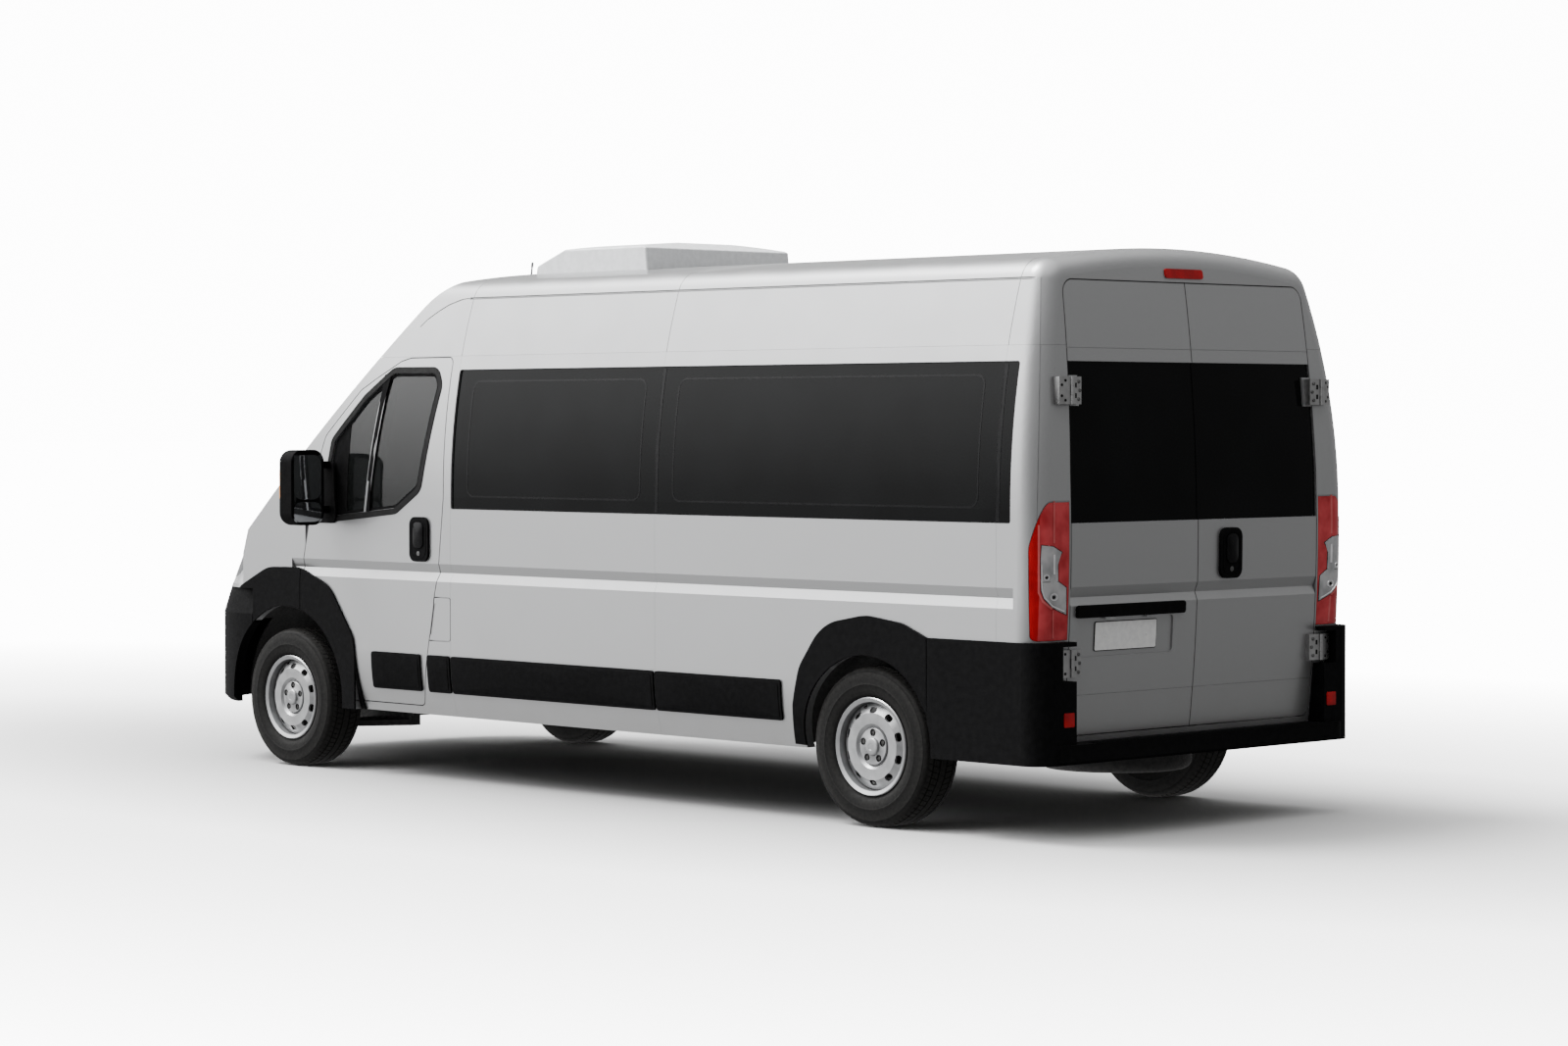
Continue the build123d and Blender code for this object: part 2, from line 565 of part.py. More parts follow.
# ================================================================ doors and lids
strap_plane = Plane.XY.offset((STRAP_Z[0] + STRAP_Z[1]) / 2)
strap_height = STRAP_Z[1] - STRAP_Z[0]
strap = ring_sector(strap_plane, (FRONT_HINGE_X, FRONT_HINGE_Y), STRAP_ARM, (212, 300),
                    strap_height)
strap_slot = ring_sector(strap_plane, (FRONT_HINGE_X, FRONT_HINGE_Y),
                         (STRAP_ARM[0] - SEAT, STRAP_ARM[1] + 5), (180, 330), strap_height + 10)
door = skin & left_prism(door_sketch)
for part_window in door_panes:
    door = glazed(door, left_prism, part_window)
door_glass = [pane(left_prism, part_window) for part_window in door_panes]
door = door + strap
save("front_left_door", door)
save("front_right_door", mirrored(door))
glass = door_glass[0] + door_glass[1]
save("front_left_door_glass", glass)
save("front_right_door_glass", mirrored(glass))

flap = (skin & left_prism(flap_sketch)) - cabin_form(FLAP_THICKNESS)
flap_low, flap_high = FUEL_FLAP[3], FUEL_FLAP[2]          # ends of its slanting front edge
FLAP_AXIS_Y = HALF_WIDTH + 2
FLAP_BARREL = (3, 150)               # radius, length
flap_slant = math.atan2(flap_low[0] - flap_high[0], flap_high[1] - flap_low[1])
flap_middle = ((flap_low[0] + flap_high[0]) / 2 - 0.5, FLAP_AXIS_Y, (flap_low[1] + flap_high[1]) / 2)
barrel = Pos(*flap_middle) * Rot(0, -math.degrees(flap_slant), 0) * Cylinder(*FLAP_BARREL)
save("fuel_flap", flap + barrel)

rear_door = skin & rear_prism(rear_door_sketch)
rear_door = glazed(rear_door, rear_prism, rear_rebate, rear_opening)
CREASE_Z = (590, 2005)               # fine grooves across the rear doors
CREASE = (3, 3)                      # width, depth
for z in CREASE_Z:
    crease = rear_prism(rectangle(0, z, 820, z + CREASE[0])) - cabin_form(CREASE[1])
    rear_door = rear_door - crease
save("rear_right_door", mirrored(rear_door))
PLATE_RECESS = Pos(450, 824) * RectangleRounded(600, 156, 18)
PLATE_RECESS_DEPTH = 7
rear_door = rear_door - (rear_prism(PLATE_RECESS) - cabin_form(PLATE_RECESS_DEPTH))
save("rear_left_door", rear_door)
rear_glass = glass_layer & rear_prism(rear_pane)
save("rear_left_door_glass", rear_glass)
save("rear_right_door_glass", mirrored(rear_glass))
print("doors done")

# ================================================================ nose
nose_skin = nose_form(0) - nose_form(WALL)
for groove in (scallop, mirrored(scallop)):
    nose_skin = nose_skin - groove
front_skin = (skin & nose_region) & block(1500, 2420, -OUT, OUT, 0, TALL)
front_skin = front_skin + (nose_skin & nose_region & block(2250, LONG, -OUT, OUT, 0, TALL))
LAMP_FRONT = [(600, 905, 40), (1100, 880, 0), (1100, 1230, 0), (960, 1215, 60), (790, 1130, 60),
              (640, 1030, 50)]
LAMP_SIDE = [(2360, 1215, 30), (2480, 884, 30), (3100, 884, 0), (3100, 1260, 0)]
headlamp_zone = end_prism(rounded(LAMP_FRONT), 2200, LONG) & side_prism(rounded(LAMP_SIDE), 0, OUT)
headlamp_gap = end_prism(grown(rounded(LAMP_FRONT), SEAM), 2200, LONG) & (
    side_prism(grown(rounded(LAMP_SIDE), SEAM), 0, OUT))
headlamp = nose_form(2) & headlamp_zone
headlamp = headlamp - nose_form(WALL)
save("left_headlamp", headlamp)
save("right_headlamp", mirrored(headlamp))
BONNET_REAR_X = BONNET_HINGE[0] + 3
BONNET_PLAN = [(BONNET_REAR_X, -745, 40), (2560, -735, 0), (2720, -640, 100), (3100, -560, 0),
               (3100, 560, 0), (2720, 640, 100), (2560, 735, 0), (BONNET_REAR_X, 745, 40)]
bonnet_sketch = rounded(BONNET_PLAN)
BONNET_LOW_Z = 1036
bonnet_zone = plan_prism(bonnet_sketch, BONNET_LOW_Z, TALL)
BONNET_GAP = 7
BONNET_EDGE = 22                     # thickness of the bonnet's rim
BONNET_RIM = 26                      # width of that rim
bonnet_hole = plan_prism(grown(bonnet_sketch, BONNET_GAP), BONNET_LOW_Z - DOOR_GAP, TALL)
bonnet_arms = bonnet_ring(BONNET_ARM, (-138, -48), 14)
bonnet = nose_skin & bonnet_zone
bonnet_middle = plan_prism(grown(bonnet_sketch, -BONNET_RIM), 0, TALL)
bonnet = bonnet - (nose_form(BONNET_EDGE) - bonnet_middle)
bonnet = bonnet - headlamp_gap - mirrored(headlamp_gap)
lamp_clear = end_prism(grown(rounded(LAMP_FRONT), DOOR_GAP), 2200, LONG) & (
    side_prism(grown(rounded(LAMP_SIDE), DOOR_GAP), 0, OUT))
bonnet = bonnet - lamp_clear - mirrored(lamp_clear)
bonnet = bonnet + bonnet_arms
save("bonnet", bonnet)

GRILLE_FRONT = [(-560, 884, 20), (560, 884, 20), (590, 1028, 30), (-590, 1028, 30)]
grille_sketch = rounded(GRILLE_FRONT)
grille_zone = end_prism(grille_sketch, 2600, LONG)
grille = (nose_form(3) - nose_form(38)) & grille_zone
slots = [end_prism(Pos(side * 278, z) * RectangleRounded(510, 22, 8), 2600, LONG)
         for z in (918, 956, 994) for side in (1, -1)]
for slot in slots:
    grille = grille - slot
grille = grille - headlamp_gap - mirrored(headlamp_gap)
save("grille", grille)

front_skin = front_skin - bonnet_hole - headlamp_gap - mirrored(headlamp_gap)
front_skin = front_skin - end_prism(grown(grille_sketch, 1), 2600, LONG)
front_skin = front_skin - arch(FRONT_AXLE_X, ARCH_RADIUS + 7)
front_skin = front_skin - block(2325, LONG, -OUT, OUT, 0, BUMPER_TOP_Z + SEAM)
COWL_HALF = 690
cowl = front_skin & block(1900, BONNET_REAR_X - DOOR_GAP, -COWL_HALF, COWL_HALF, 1240, TALL)
cowl = cowl - bonnet_ring((BONNET_ARM[0] - DOOR_GAP, BONNET_ARM[1] + DOOR_GAP), (-180, 60), 24)
save("scuttle_panel", cowl)
wing = front_skin & block(1900, LONG, 560, OUT, 0, TALL)
wing = wing - block(1900, BONNET_REAR_X - DOOR_GAP, 0, COWL_HALF + SEAT, 1240, TALL)
wing = wing.solids().sort_by(SortBy.VOLUME)[-1]
save("left_front_wing", wing)
save("right_front_wing", mirrored(wing))
print("nose done", len(front_skin.solids()), [round(s.volume / 1e6) for s in front_skin.solids()])

# ================================================================ bumpers
bumper_outline = front_outline(FRONT_X, BUMPER_FRONT_RADIUS, BUMPER_CORNER_RADIUS,
                               HALF_WIDTH + TRIM_THICKNESS, NOSE_FLARE_X,
                               HALF_WIDTH + TRIM_THICKNESS)
bumper_core = grown(bumper_outline, -52)
bumper = plan_prism(bumper_outline, BUMPER_BOTTOM_Z, BUMPER_BEND_Z)
rims = [e for e in bumper.edges() if abs(e.center().Z - BUMPER_BOTTOM_Z) < 1]
rims = [e for e in rims if e.center().X > 0]
bumper = chamfer(rims, 26)
bumper = bumper + Pos(0, 0, BUMPER_BEND_Z) * extrude(
    bumper_outline, BUMPER_TOP_Z - BUMPER_BEND_Z, taper=BUMPER_LEAN)
bumper = bumper - plan_prism(bumper_core, 0, TALL)
bumper = bumper & block(2330, LONG, -OUT, OUT, 0, TALL)
bumper = bumper - arch(FRONT_AXLE_X, ARCH_RADIUS)
intake = end_prism(Pos(0, 480) * RectangleRounded(1180, 120, 30), 2700, LONG)
bumper = bumper - intake
for z in (450, 480, 510):
    bar = plan_prism(grown(bumper_outline, -20) - grown(bumper_outline, -40), z - 5, z + 5)
    bumper = bumper + (bar & block(2500, LONG, -595, 595, 0, TALL))
save("front_bumper", bumper)

REAR_CORNER_X = REAR_X - 38
REAR_STEP_X = BUMPER_REAR_X
REAR_BUMPER_LOW_Z = 318
REAR_BUMPER_HIGH_Z = 815
REAR_STEP_Z = (330, 400)
REAR_BUMPER_FRONT_X = -2348
corner_y = REAR_HINGE_Y - 4
wrap_half = HALF_WIDTH + TRIM_THICKNESS
wrap = rounded([(REAR_CORNER_X, -wrap_half, 105), (REAR_BUMPER_FRONT_X, -wrap_half, 0),
                (REAR_BUMPER_FRONT_X, wrap_half, 0), (REAR_CORNER_X, wrap_half, 105)])
body_clear = cabin_form(-SEAT)
rear_bumper = plan_prism(wrap, REAR_BUMPER_LOW_Z, REAR_BUMPER_HIGH_Z)
rear_bumper = rear_bumper - block(-LONG, LONG, -corner_y, corner_y, REAR_STEP_Z[1], TALL)
STEP_CORNERS = [(REAR_STEP_X, HALF_WIDTH - 93, 60), (REAR_X + 80, HALF_WIDTH - 58, 0)]
step = rounded([(x, -y, r) for x, y, r in STEP_CORNERS] + STEP_CORNERS[::-1])
rear_bumper = rear_bumper + plan_prism(step, *REAR_STEP_Z)
rear_bumper = rear_bumper - body_clear - arch(REAR_AXLE_X, 386)
BUMPER_INNER_Y = HALF_WIDTH - 88
rear_bumper = rear_bumper - block(REAR_X + 50, LONG, -BUMPER_INNER_Y, BUMPER_INNER_Y, 0, TALL)
HINGE_POCKET_Y = REAR_HINGE_Y + 78      # outer side of the recess round each lower hinge
rear_bumper = rear_bumper - block(-LONG, REAR_X + 60, -HINGE_POCKET_Y, HINGE_POCKET_Y,
                                  HINGE_Z[0] - 71, HINGE_Z[0] + 71)
save("rear_bumper", rear_bumper)

# ================================================================ trim along the sides
FRONT_FLARE = [(1463, 302, 0), (1512, 660, 120), (1700, 905, 200), (1935, 990, 250),
               (2200, 985, 250), (2440, 880, 60), (2520, 700, 0), (2520, 302, 0)]
REAR_FLARE = [(-2343, 300, 0), (-2343, 815, 0), (-2200, 870, 150), (-1987, 896, 250),
              (-1730, 850, 250), (-1590, 660, 160), (-1547, 496, 60), (-1533, 326, 0)]
front_flare = trim_layer & side_prism(rounded(FRONT_FLARE), 0, OUT)
front_flare = front_flare - arch(FRONT_AXLE_X, ARCH_RADIUS)
rear_flare = (trim_layer & side_prism(rounded(REAR_FLARE), 0, OUT)) - arch(REAR_AXLE_X, 386)
flare_split = side_prism(polygon([(1300, 200), (1932, 200), (1932, 930), (1905, 1100), (1300, 1100)]),
                         0, OUT)
flare_gap = side_prism(polygon([(1932, 200), (1937, 200), (1937, 930), (1910, 1100),
                                (1905, 1100), (1932, 930)]), 0, OUT)
door_flare = front_flare & flare_split
wing_flare = front_flare - flare_split - flare_gap
wing_flare = wing_flare - block(2325, LONG, -OUT, OUT, 0, BUMPER_TOP_Z + 1)
MOULDING_Z = (423, 600)


def moulding(x_low, x_high):
    """One length of the black rubbing strip, with rounded ends."""
    height = MOULDING_Z[1] - MOULDING_Z[0]
    strip = Pos((x_low + x_high) / 2, sum(MOULDING_Z) / 2) * RectangleRounded(
        x_high - x_low, height, 14)
    return trim_layer & side_prism(strip, 0, OUT)


door_moulding = moulding(995, 1368) & left_prism(grown(door_sketch, -4))
cab_moulding = moulding(774, 940) - door_hole
middle_moulding = moulding(-660, 760)
rear_moulding = moulding(-1475, -672)
save("left_wing_flare", wing_flare)
save("right_wing_flare", mirrored(wing_flare))
save("left_rear_flare", rear_flare)
save("right_rear_flare", mirrored(rear_flare))
save("front_left_door_flare", door_flare + door_moulding)
save("front_right_door_flare", mirrored(door_flare + door_moulding))
save("left_side_mouldings", cab_moulding + middle_moulding + rear_moulding)
save("right_side_mouldings", mirrored(cab_moulding + rear_moulding))
save("sliding_door_moulding", mirrored(middle_moulding))
DOOR_RAIL = (-2140, 1088, -676, 1108)          # x, z, x, z of the rail's cover
save("sliding_door_rail", mirrored(trim_layer & side_prism(rectangle(*DOOR_RAIL), 0, OUT)))
print("trim done")

# ================================================================ wheels
# profiles of revolution about the axle: y outward from the wheel's middle plane, radius
HALF_TYRE = TYRE_WIDTH / 2
HALF_RIM = RIM_WIDTH / 2
WALL_RADIUS = (TYRE_RADIUS + BEAD_RADIUS) / 2     # widest part of the sidewall
TYRE_PROFILE = [
    (HALF_RIM - 14, BEAD_RADIUS, 0), (HALF_RIM, BEAD_RADIUS, 0),
    (HALF_RIM + 1, BEAD_RADIUS + 18, 0),
    (HALF_TYRE, WALL_RADIUS, 30), (HALF_TYRE - 6, TYRE_RADIUS - 23, 20),
    (HALF_TYRE - 20, TYRE_RADIUS - 4, 12),
    (HALF_TYRE - 34, TYRE_RADIUS, 0), (-HALF_TYRE + 34, TYRE_RADIUS, 0),
    (-HALF_TYRE + 20, TYRE_RADIUS - 4, 12), (-HALF_TYRE + 6, TYRE_RADIUS - 23, 20),
    (-HALF_TYRE, WALL_RADIUS, 30), (-HALF_RIM - 1, BEAD_RADIUS + 18, 0),
    (-HALF_RIM, BEAD_RADIUS, 0), (-HALF_RIM + 14, BEAD_RADIUS, 0),
    (-HALF_TYRE + 16, WALL_RADIUS - 6, 0), (-HALF_TYRE + 22, TYRE_RADIUS - 21, 0),
    (HALF_TYRE - 22, TYRE_RADIUS - 21, 0), (HALF_TYRE - 16, WALL_RADIUS - 6, 0),
]
RIM_PROFILE = [
    (HALF_RIM + 12, RIM_FLANGE_RADIUS - 4), (HALF_RIM + 8, RIM_FLANGE_RADIUS),
    (HALF_RIM + 1.5, RIM_FLANGE_RADIUS - 2), (HALF_RIM + 0.5, BEAD_RADIUS - 1),
    (34, BEAD_RADIUS - 4), (22, 172), (-28, 172), (-40, BEAD_RADIUS - 4),
    (-HALF_RIM - 0.5, BEAD_RADIUS - 1), (-HALF_RIM - 1.5, RIM_FLANGE_RADIUS - 2),
    (-HALF_RIM - 8, RIM_FLANGE_RADIUS), (-HALF_RIM - 12, RIM_FLANGE_RADIUS - 4),
    (-HALF_RIM - 5, BEAD_RADIUS - 8), (-44, BEAD_RADIUS - 11), (-30, 165),
    (24, 165), (38, BEAD_RADIUS - 11), (HALF_RIM + 5, BEAD_RADIUS - 8),
]
HUB_FACE = 62                       # wheel's seat on the hub, outboard of its middle plane
HUB_BORE = 34
DISC_PROFILE = [
    (HUB_FACE, HUB_BORE), (HUB_FACE, 84), (74, 100), (76, 138), (50, 176), (30, 184.5),
    (38, 184.5), (58, 183), (85, 142), (84, 96), (70, 80), (70, HUB_BORE),
]
HAND_HOLES = 10
HAND_HOLE_RADIUS = 153
BOLT_COUNT = 5
BOLT_CIRCLE_RADIUS = 59


def turned(profile, centre_y):
    """Revolves a (y, radius) profile about an axle through the origin, shifted sideways."""
    face = Plane.YZ * polygon(profile)
    return Pos(0, centre_y, 0) * revolve(face, Axis((0, 0, 0), (0, 1, 0)), 360)


def turned_rounded(profile, centre_y):
    face = Plane.YZ * rounded(profile)
    return Pos(0, centre_y, 0) * revolve(face, Axis((0, 0, 0), (0, 1, 0)), 360)


def radial_holes(count, circle_radius, hole, y_low, y_high):
    cutters = []
    for i in range(count):
        spin = Rot(0, 360 / count * i, 0)
        cutters.append(spin * (Pos(0, y_high, circle_radius) * extrude(Plane.XZ * hole,
                                                                     y_high - y_low)))
    return cutters


tyre_form = turned_rounded(TYRE_PROFILE, 0)
rim_form = turned(RIM_PROFILE, 0) + turned(DISC_PROFILE, 0)
for cutter in radial_holes(HAND_HOLES, HAND_HOLE_RADIUS, SlotOverall(40, 24), 0, 120):
    rim_form = rim_form - cutter
for cutter in radial_holes(BOLT_COUNT, BOLT_CIRCLE_RADIUS, Circle(7), 0, 120):
    rim_form = rim_form - cutter
WHEELS = {                           # name: axle x, middle plane y
    "front_left": (FRONT_AXLE_X, FRONT_TRACK / 2),
    "front_right": (FRONT_AXLE_X, -FRONT_TRACK / 2),
    "rear_left": (REAR_AXLE_X, REAR_TRACK / 2),
    "rear_right": (REAR_AXLE_X, -REAR_TRACK / 2),
}
for name, (x, y) in WHEELS.items():
    outward = 0 if y > 0 else 180
    place = Pos(x, y, HUB_Z) * Rot(0, 0, outward)
    save(f"{name}_tyre", place * tyre_form)
    save(f"{name}_rim", place * rim_form)
print("wheels done")

# ================================================================ steering and suspension


def post(x, y, z_low, z_high, radius):
    return Pos(x, y, z_low) * extrude(Circle(radius), z_high - z_low)


def axle_rod(x, y_low, y_high, z, radius):
    return Pos(x, y_high, z) * extrude(Plane.XZ * Circle(radius), y_high - y_low)


front_y = FRONT_TRACK / 2
hub_face_y = front_y + HUB_FACE
KNUCKLE_Z = (HUB_Z - 129, 600)
WISHBONE_LOW_Z = KNUCKLE_Z[0] - 30
knuckle = post(FRONT_AXLE_X, KINGPIN_Y, *KNUCKLE_Z, 26)
knuckle = knuckle + axle_rod(FRONT_AXLE_X, KINGPIN_Y - 30, hub_face_y - 14, HUB_Z, 36)
knuckle = knuckle + axle_rod(FRONT_AXLE_X, hub_face_y - 16, hub_face_y - SEAT, HUB_Z, 72)
knuckle = knuckle + axle_rod(FRONT_AXLE_X, hub_face_y - 16, hub_face_y + 26, HUB_Z,
                             HUB_BORE - SEAT)
knuckle = knuckle + axle_rod(FRONT_AXLE_X, front_y - 12, front_y + 12, HUB_Z, 140)
arm = block(FRONT_AXLE_X - 150, FRONT_AXLE_X, KINGPIN_Y - 34, KINGPIN_Y - 10,
            HUB_Z - 56, HUB_Z - 32)
knuckle = knuckle + arm
save("left_knuckle", knuckle)
save("right_knuckle", mirrored(knuckle))

SUBFRAME_Z = (232, 292)
strut = post(FRONT_AXLE_X, KINGPIN_Y, KNUCKLE_Z[1] + SEAT, 806, 24)
strut = strut + post(FRONT_AXLE_X, KINGPIN_Y, 772, 799, 70)
wishbone = plan_prism(polygon([(FRONT_AXLE_X - 26, KINGPIN_Y + 20), (FRONT_AXLE_X + 26, KINGPIN_Y + 20),
                               (FRONT_AXLE_X + 60, 430), (FRONT_AXLE_X + 40, 400),
                               (FRONT_AXLE_X - 230, 400), (FRONT_AXLE_X - 250, 430)]),
                      WISHBONE_LOW_Z, KNUCKLE_Z[0] - SEAT)
subframe = block(1780, 2300, -440, 440, *SUBFRAME_Z) - block(1880, 2200, -330, 330, 0, TALL)
subframe = subframe + block(2240, 2860, 380, 440, *SUBFRAME_Z) + (
    block(2240, 2860, -440, -380, *SUBFRAME_Z))
subframe = subframe + block(2800, 2860, -440, 440, *SUBFRAME_Z)
posts = [block(1800, 2290, side * 410 - 30, side * 410 + 30, WISHBONE_LOW_Z, SUBFRAME_Z[1])
         for side in (1, -1)]
subframe = subframe + posts[0] + posts[1] + wishbone + mirrored(wishbone)
save("front_subframe", subframe)
save("front_struts", strut + mirrored(strut))

rear_y = REAR_TRACK / 2
rear_face_y = rear_y + HUB_FACE
half_axle = axle_rod(REAR_AXLE_X, 0, rear_face_y - 14, HUB_Z, 34)
half_axle = half_axle + axle_rod(REAR_AXLE_X, rear_face_y - 16, rear_face_y - SEAT, HUB_Z, 72)
half_axle = half_axle + axle_rod(REAR_AXLE_X, rear_face_y - 16, rear_face_y + 26, HUB_Z,
                                 HUB_BORE - SEAT)
half_axle = half_axle + axle_rod(REAR_AXLE_X, rear_y - 40, rear_y + 30, HUB_Z, 138)
SPRING_Y = 505
SPRING_HALF_LENGTH = 640
spring_arc = Pos(REAR_AXLE_X, 0) * make_face(Curve() + [
    ThreePointArc((-SPRING_HALF_LENGTH, 418), (0, 376), (SPRING_HALF_LENGTH, 418)),
    Line((SPRING_HALF_LENGTH, 418), (SPRING_HALF_LENGTH, 429.7)),
    Line((SPRING_HALF_LENGTH, 429.7), (SPRING_HALF_LENGTH - 30, 429.7)),
    ThreePointArc((SPRING_HALF_LENGTH - 30, 429.7), (0, 394), (-SPRING_HALF_LENGTH + 30, 429.7)),
    Line((-SPRING_HALF_LENGTH + 30, 429.7), (-SPRING_HALF_LENGTH, 429.7)),
    Line((-SPRING_HALF_LENGTH, 429.7), (-SPRING_HALF_LENGTH, 418)),
])
spring = side_prism(spring_arc, SPRING_Y - 32, SPRING_Y + 32)
spring = spring + block(REAR_AXLE_X - 50, REAR_AXLE_X + 50, SPRING_Y - 32, SPRING_Y + 32,
                        HUB_Z, 385)
rear_axle = half_axle + mirrored(half_axle) + spring + mirrored(spring)
save("rear_axle", rear_axle)
print("running gear done")

# ================================================================ underbody
fit_form = cabin_form(WALL + SEAT) + nose_form(WALL + SEAT)
DOOR_SIDE_CLEAR = 7
door_inner_y = HALF_WIDTH - WALL - DOOR_SIDE_CLEAR
BULKHEAD_X = (1940, 1955)
REAR_FLOOR_X = REAR_X + 100
floor = block(REAR_FLOOR_X, BULKHEAD_X[0] - SEAT, -OUT, OUT, FLOOR_Z - FLOOR_THICKNESS, FLOOR_Z)
floor = floor & fit_form
for side in (1, -1):
    y_low, y_high = sorted((side * door_inner_y, side * OUT))
    floor = floor - block(810, LONG, y_low, y_high, 0, TALL)
REAR_LINER = (396, 404)
REAR_LINER_INNER_Y = 600
liner_zone_y = (REAR_LINER_INNER_Y - LINER_THICKNESS, HALF_WIDTH - WALL - SEAT)
for side in (1, -1):
    y_low, y_high = sorted((side * (liner_zone_y[0] - SEAT), side * OUT))
    floor = floor - arch(REAR_AXLE_X, REAR_LINER[1] + SEAT, y_low, y_high)
    y_low, y_high = sorted((side * (LINER_INNER_Y - LINER_THICKNESS - SEAT), side * OUT))
    floor = floor - arch(FRONT_AXLE_X, ARCH_LINER_RADIUS + LINER_THICKNESS + SEAT, y_low, y_high)
save("floor", floor)

rear_liner = arch(REAR_AXLE_X, REAR_LINER[1], *liner_zone_y) - arch(REAR_AXLE_X, REAR_LINER[0])
rear_liner_wall = arch(REAR_AXLE_X, REAR_LINER[1], liner_zone_y[0], REAR_LINER_INNER_Y)
rear_liner_wall = rear_liner_wall - block(-LONG, LONG, -OUT, OUT, 0, 440)
rear_liner = rear_liner & block(-LONG, LONG, -OUT, OUT, SILL_Z + 20, TALL)
rear_liner = (rear_liner + rear_liner_wall) & fit_form
save("rear_wheelhouses", rear_liner + mirrored(rear_liner))

liner_outer = ARCH_LINER_RADIUS + LINER_THICKNESS
front_liner = arch(FRONT_AXLE_X, liner_outer, LINER_INNER_Y - LINER_THICKNESS, OUT) - (
    arch(FRONT_AXLE_X, ARCH_LINER_RADIUS))
front_wall = arch(FRONT_AXLE_X, liner_outer, LINER_INNER_Y - LINER_THICKNESS, LINER_INNER_Y)
front_wall = front_wall - block(-LONG, LONG, -OUT, OUT, 0, 560)
front_liner = front_liner - block(-LONG, LONG, -OUT, OUT, 0, 330)
front_liner = front_liner - block(0, BULKHEAD_X[0], door_inner_y, OUT, 0, TALL)
front_liner = front_liner - block(2320, LONG, 900, OUT, 0, BUMPER_TOP_Z + 5)
front_liner = front_liner + front_wall
bulkhead = block(*BULKHEAD_X, -OUT, OUT, FLOOR_Z - FLOOR_THICKNESS, 1300)
for side in (1, -1):
    y_low, y_high = sorted((side * (LINER_INNER_Y - 1), side * OUT))
    bulkhead = bulkhead - arch(FRONT_AXLE_X, ARCH_LINER_RADIUS + 2, y_low, y_high)
bulkhead = (bulkhead + front_liner + mirrored(front_liner)) & fit_form
bulkhead = bulkhead - strap_slot - mirrored(strap_slot)
save("front_bulkhead", bulkhead)

RAIL_Y = (470, 540)
RAIL_Z = (430, FLOOR_Z - FLOOR_THICKNESS - SEAT)
CROSS_X = [REAR_X + 150, -2300, -1350, -700, 0, 700, 1400]
rails = block(REAR_FLOOR_X, 1870, *RAIL_Y, *RAIL_Z)
chassis = rails + mirrored(rails)
for x in CROSS_X:
    chassis = chassis + block(x - 35, x + 35, -RAIL_Y[0], RAIL_Y[0], RAIL_Z[0] + 30, RAIL_Z[1])
for x in CROSS_X:
    if abs(x - REAR_AXLE_X) > 500:
        outrigger = block(x - 35, x + 35, RAIL_Y[1], 955, RAIL_Z[0] + 30, RAIL_Z[1])
        chassis = chassis + outrigger + mirrored(outrigger)
legs = block(1800, 1870, *RAIL_Y, SUBFRAME_Z[1] + SEAT, RAIL_Z[0])
foot = block(1800, 1870, 400, RAIL_Y[1], SUBFRAME_Z[1] + SEAT, SUBFRAME_Z[1] + 30)
chassis = chassis + legs + mirrored(legs) + foot + mirrored(foot)
TOWBAR_X = (CROSS_X[0] + 70, 140)          # middle of the hole pattern, spacing along
TOWBAR_HOLE_RADIUS = 6.5
for x in (TOWBAR_X[0] - TOWBAR_X[1] / 2, TOWBAR_X[0] + TOWBAR_X[1] / 2):
    for side in (1, -1):
        chassis = chassis - post(x, side * sum(RAIL_Y) / 2, 0, 700, TOWBAR_HOLE_RADIUS)
save("chassis", chassis)

tank = block(-300, 640, 40, 450, 325, RAIL_Z[0] + 30 - SEAT)
save("fuel_tank", fillet(tank.edges().filter_by(Axis.X), 20))
muffler = Pos(-1100, -250, 382) * Rot(0, 90, 0) * Cylinder(75, 520)
front_pipe = Pos(50, -250, 395) * Rot(0, 90, 0) * Cylinder(26, 1790)
tail_pipe = Pos(-1560, -250, 395) * Rot(0, 90, 0) * Cylinder(24, 420)
hanger = block(-1120, -1080, -262, -238, 440, RAIL_Z[1])
hangers = block(650, 690, -262, -238, 400, RAIL_Z[0] + 29.7)
exhaust = muffler + front_pipe + tail_pipe + hanger + hangers
save("exhaust", exhaust)

SPARE_X = -2480
SPARE_Z = 225
spare = Pos(SPARE_X, 0, SPARE_Z) * extrude(Circle(330), 190)
spare = fillet(spare.edges(), 40)
dish = Pos(SPARE_X, 0, SPARE_Z - 1) * extrude(Circle(185), 60)
spare = spare - dish
carrier = block(SPARE_X - 30, SPARE_X + 30, -30, 30, SPARE_Z + 100, RAIL_Z[1])
save("spare_wheel", spare + carrier)
print("underbody done")

# ================================================================ drive and front end
ENGINE_Z = SUBFRAME_Z[1] + SEAT
engine = block(2240, 2680, -420, 300, 420, 1000) + block(2250, 2660, -320, 320, 340, 420)
engine = engine + block(2260, 2400, 380, 440, ENGINE_Z, 520) + block(2260, 2400, 280, 440, 470, 520)
engine = engine + block(2260, 2400, -440, -380, ENGINE_Z, 520)
save("engine_block", engine)
radiator = block(2720, 2775, -400, 400, ENGINE_Z, 860)
save("radiator", radiator)

# ================================================================ cab
DASH = [(1560, 900, 20), (1570, 1085, 30), (1650, 1180, 40), (BULKHEAD_X[0] - SEAT, 1222, 0),
        (BULKHEAD_X[0] - SEAT, 830, 0), (1720, 815, 30)]
dash = side_prism(rounded(DASH), -925, 925) & fit_form
save("dashboard", dash)

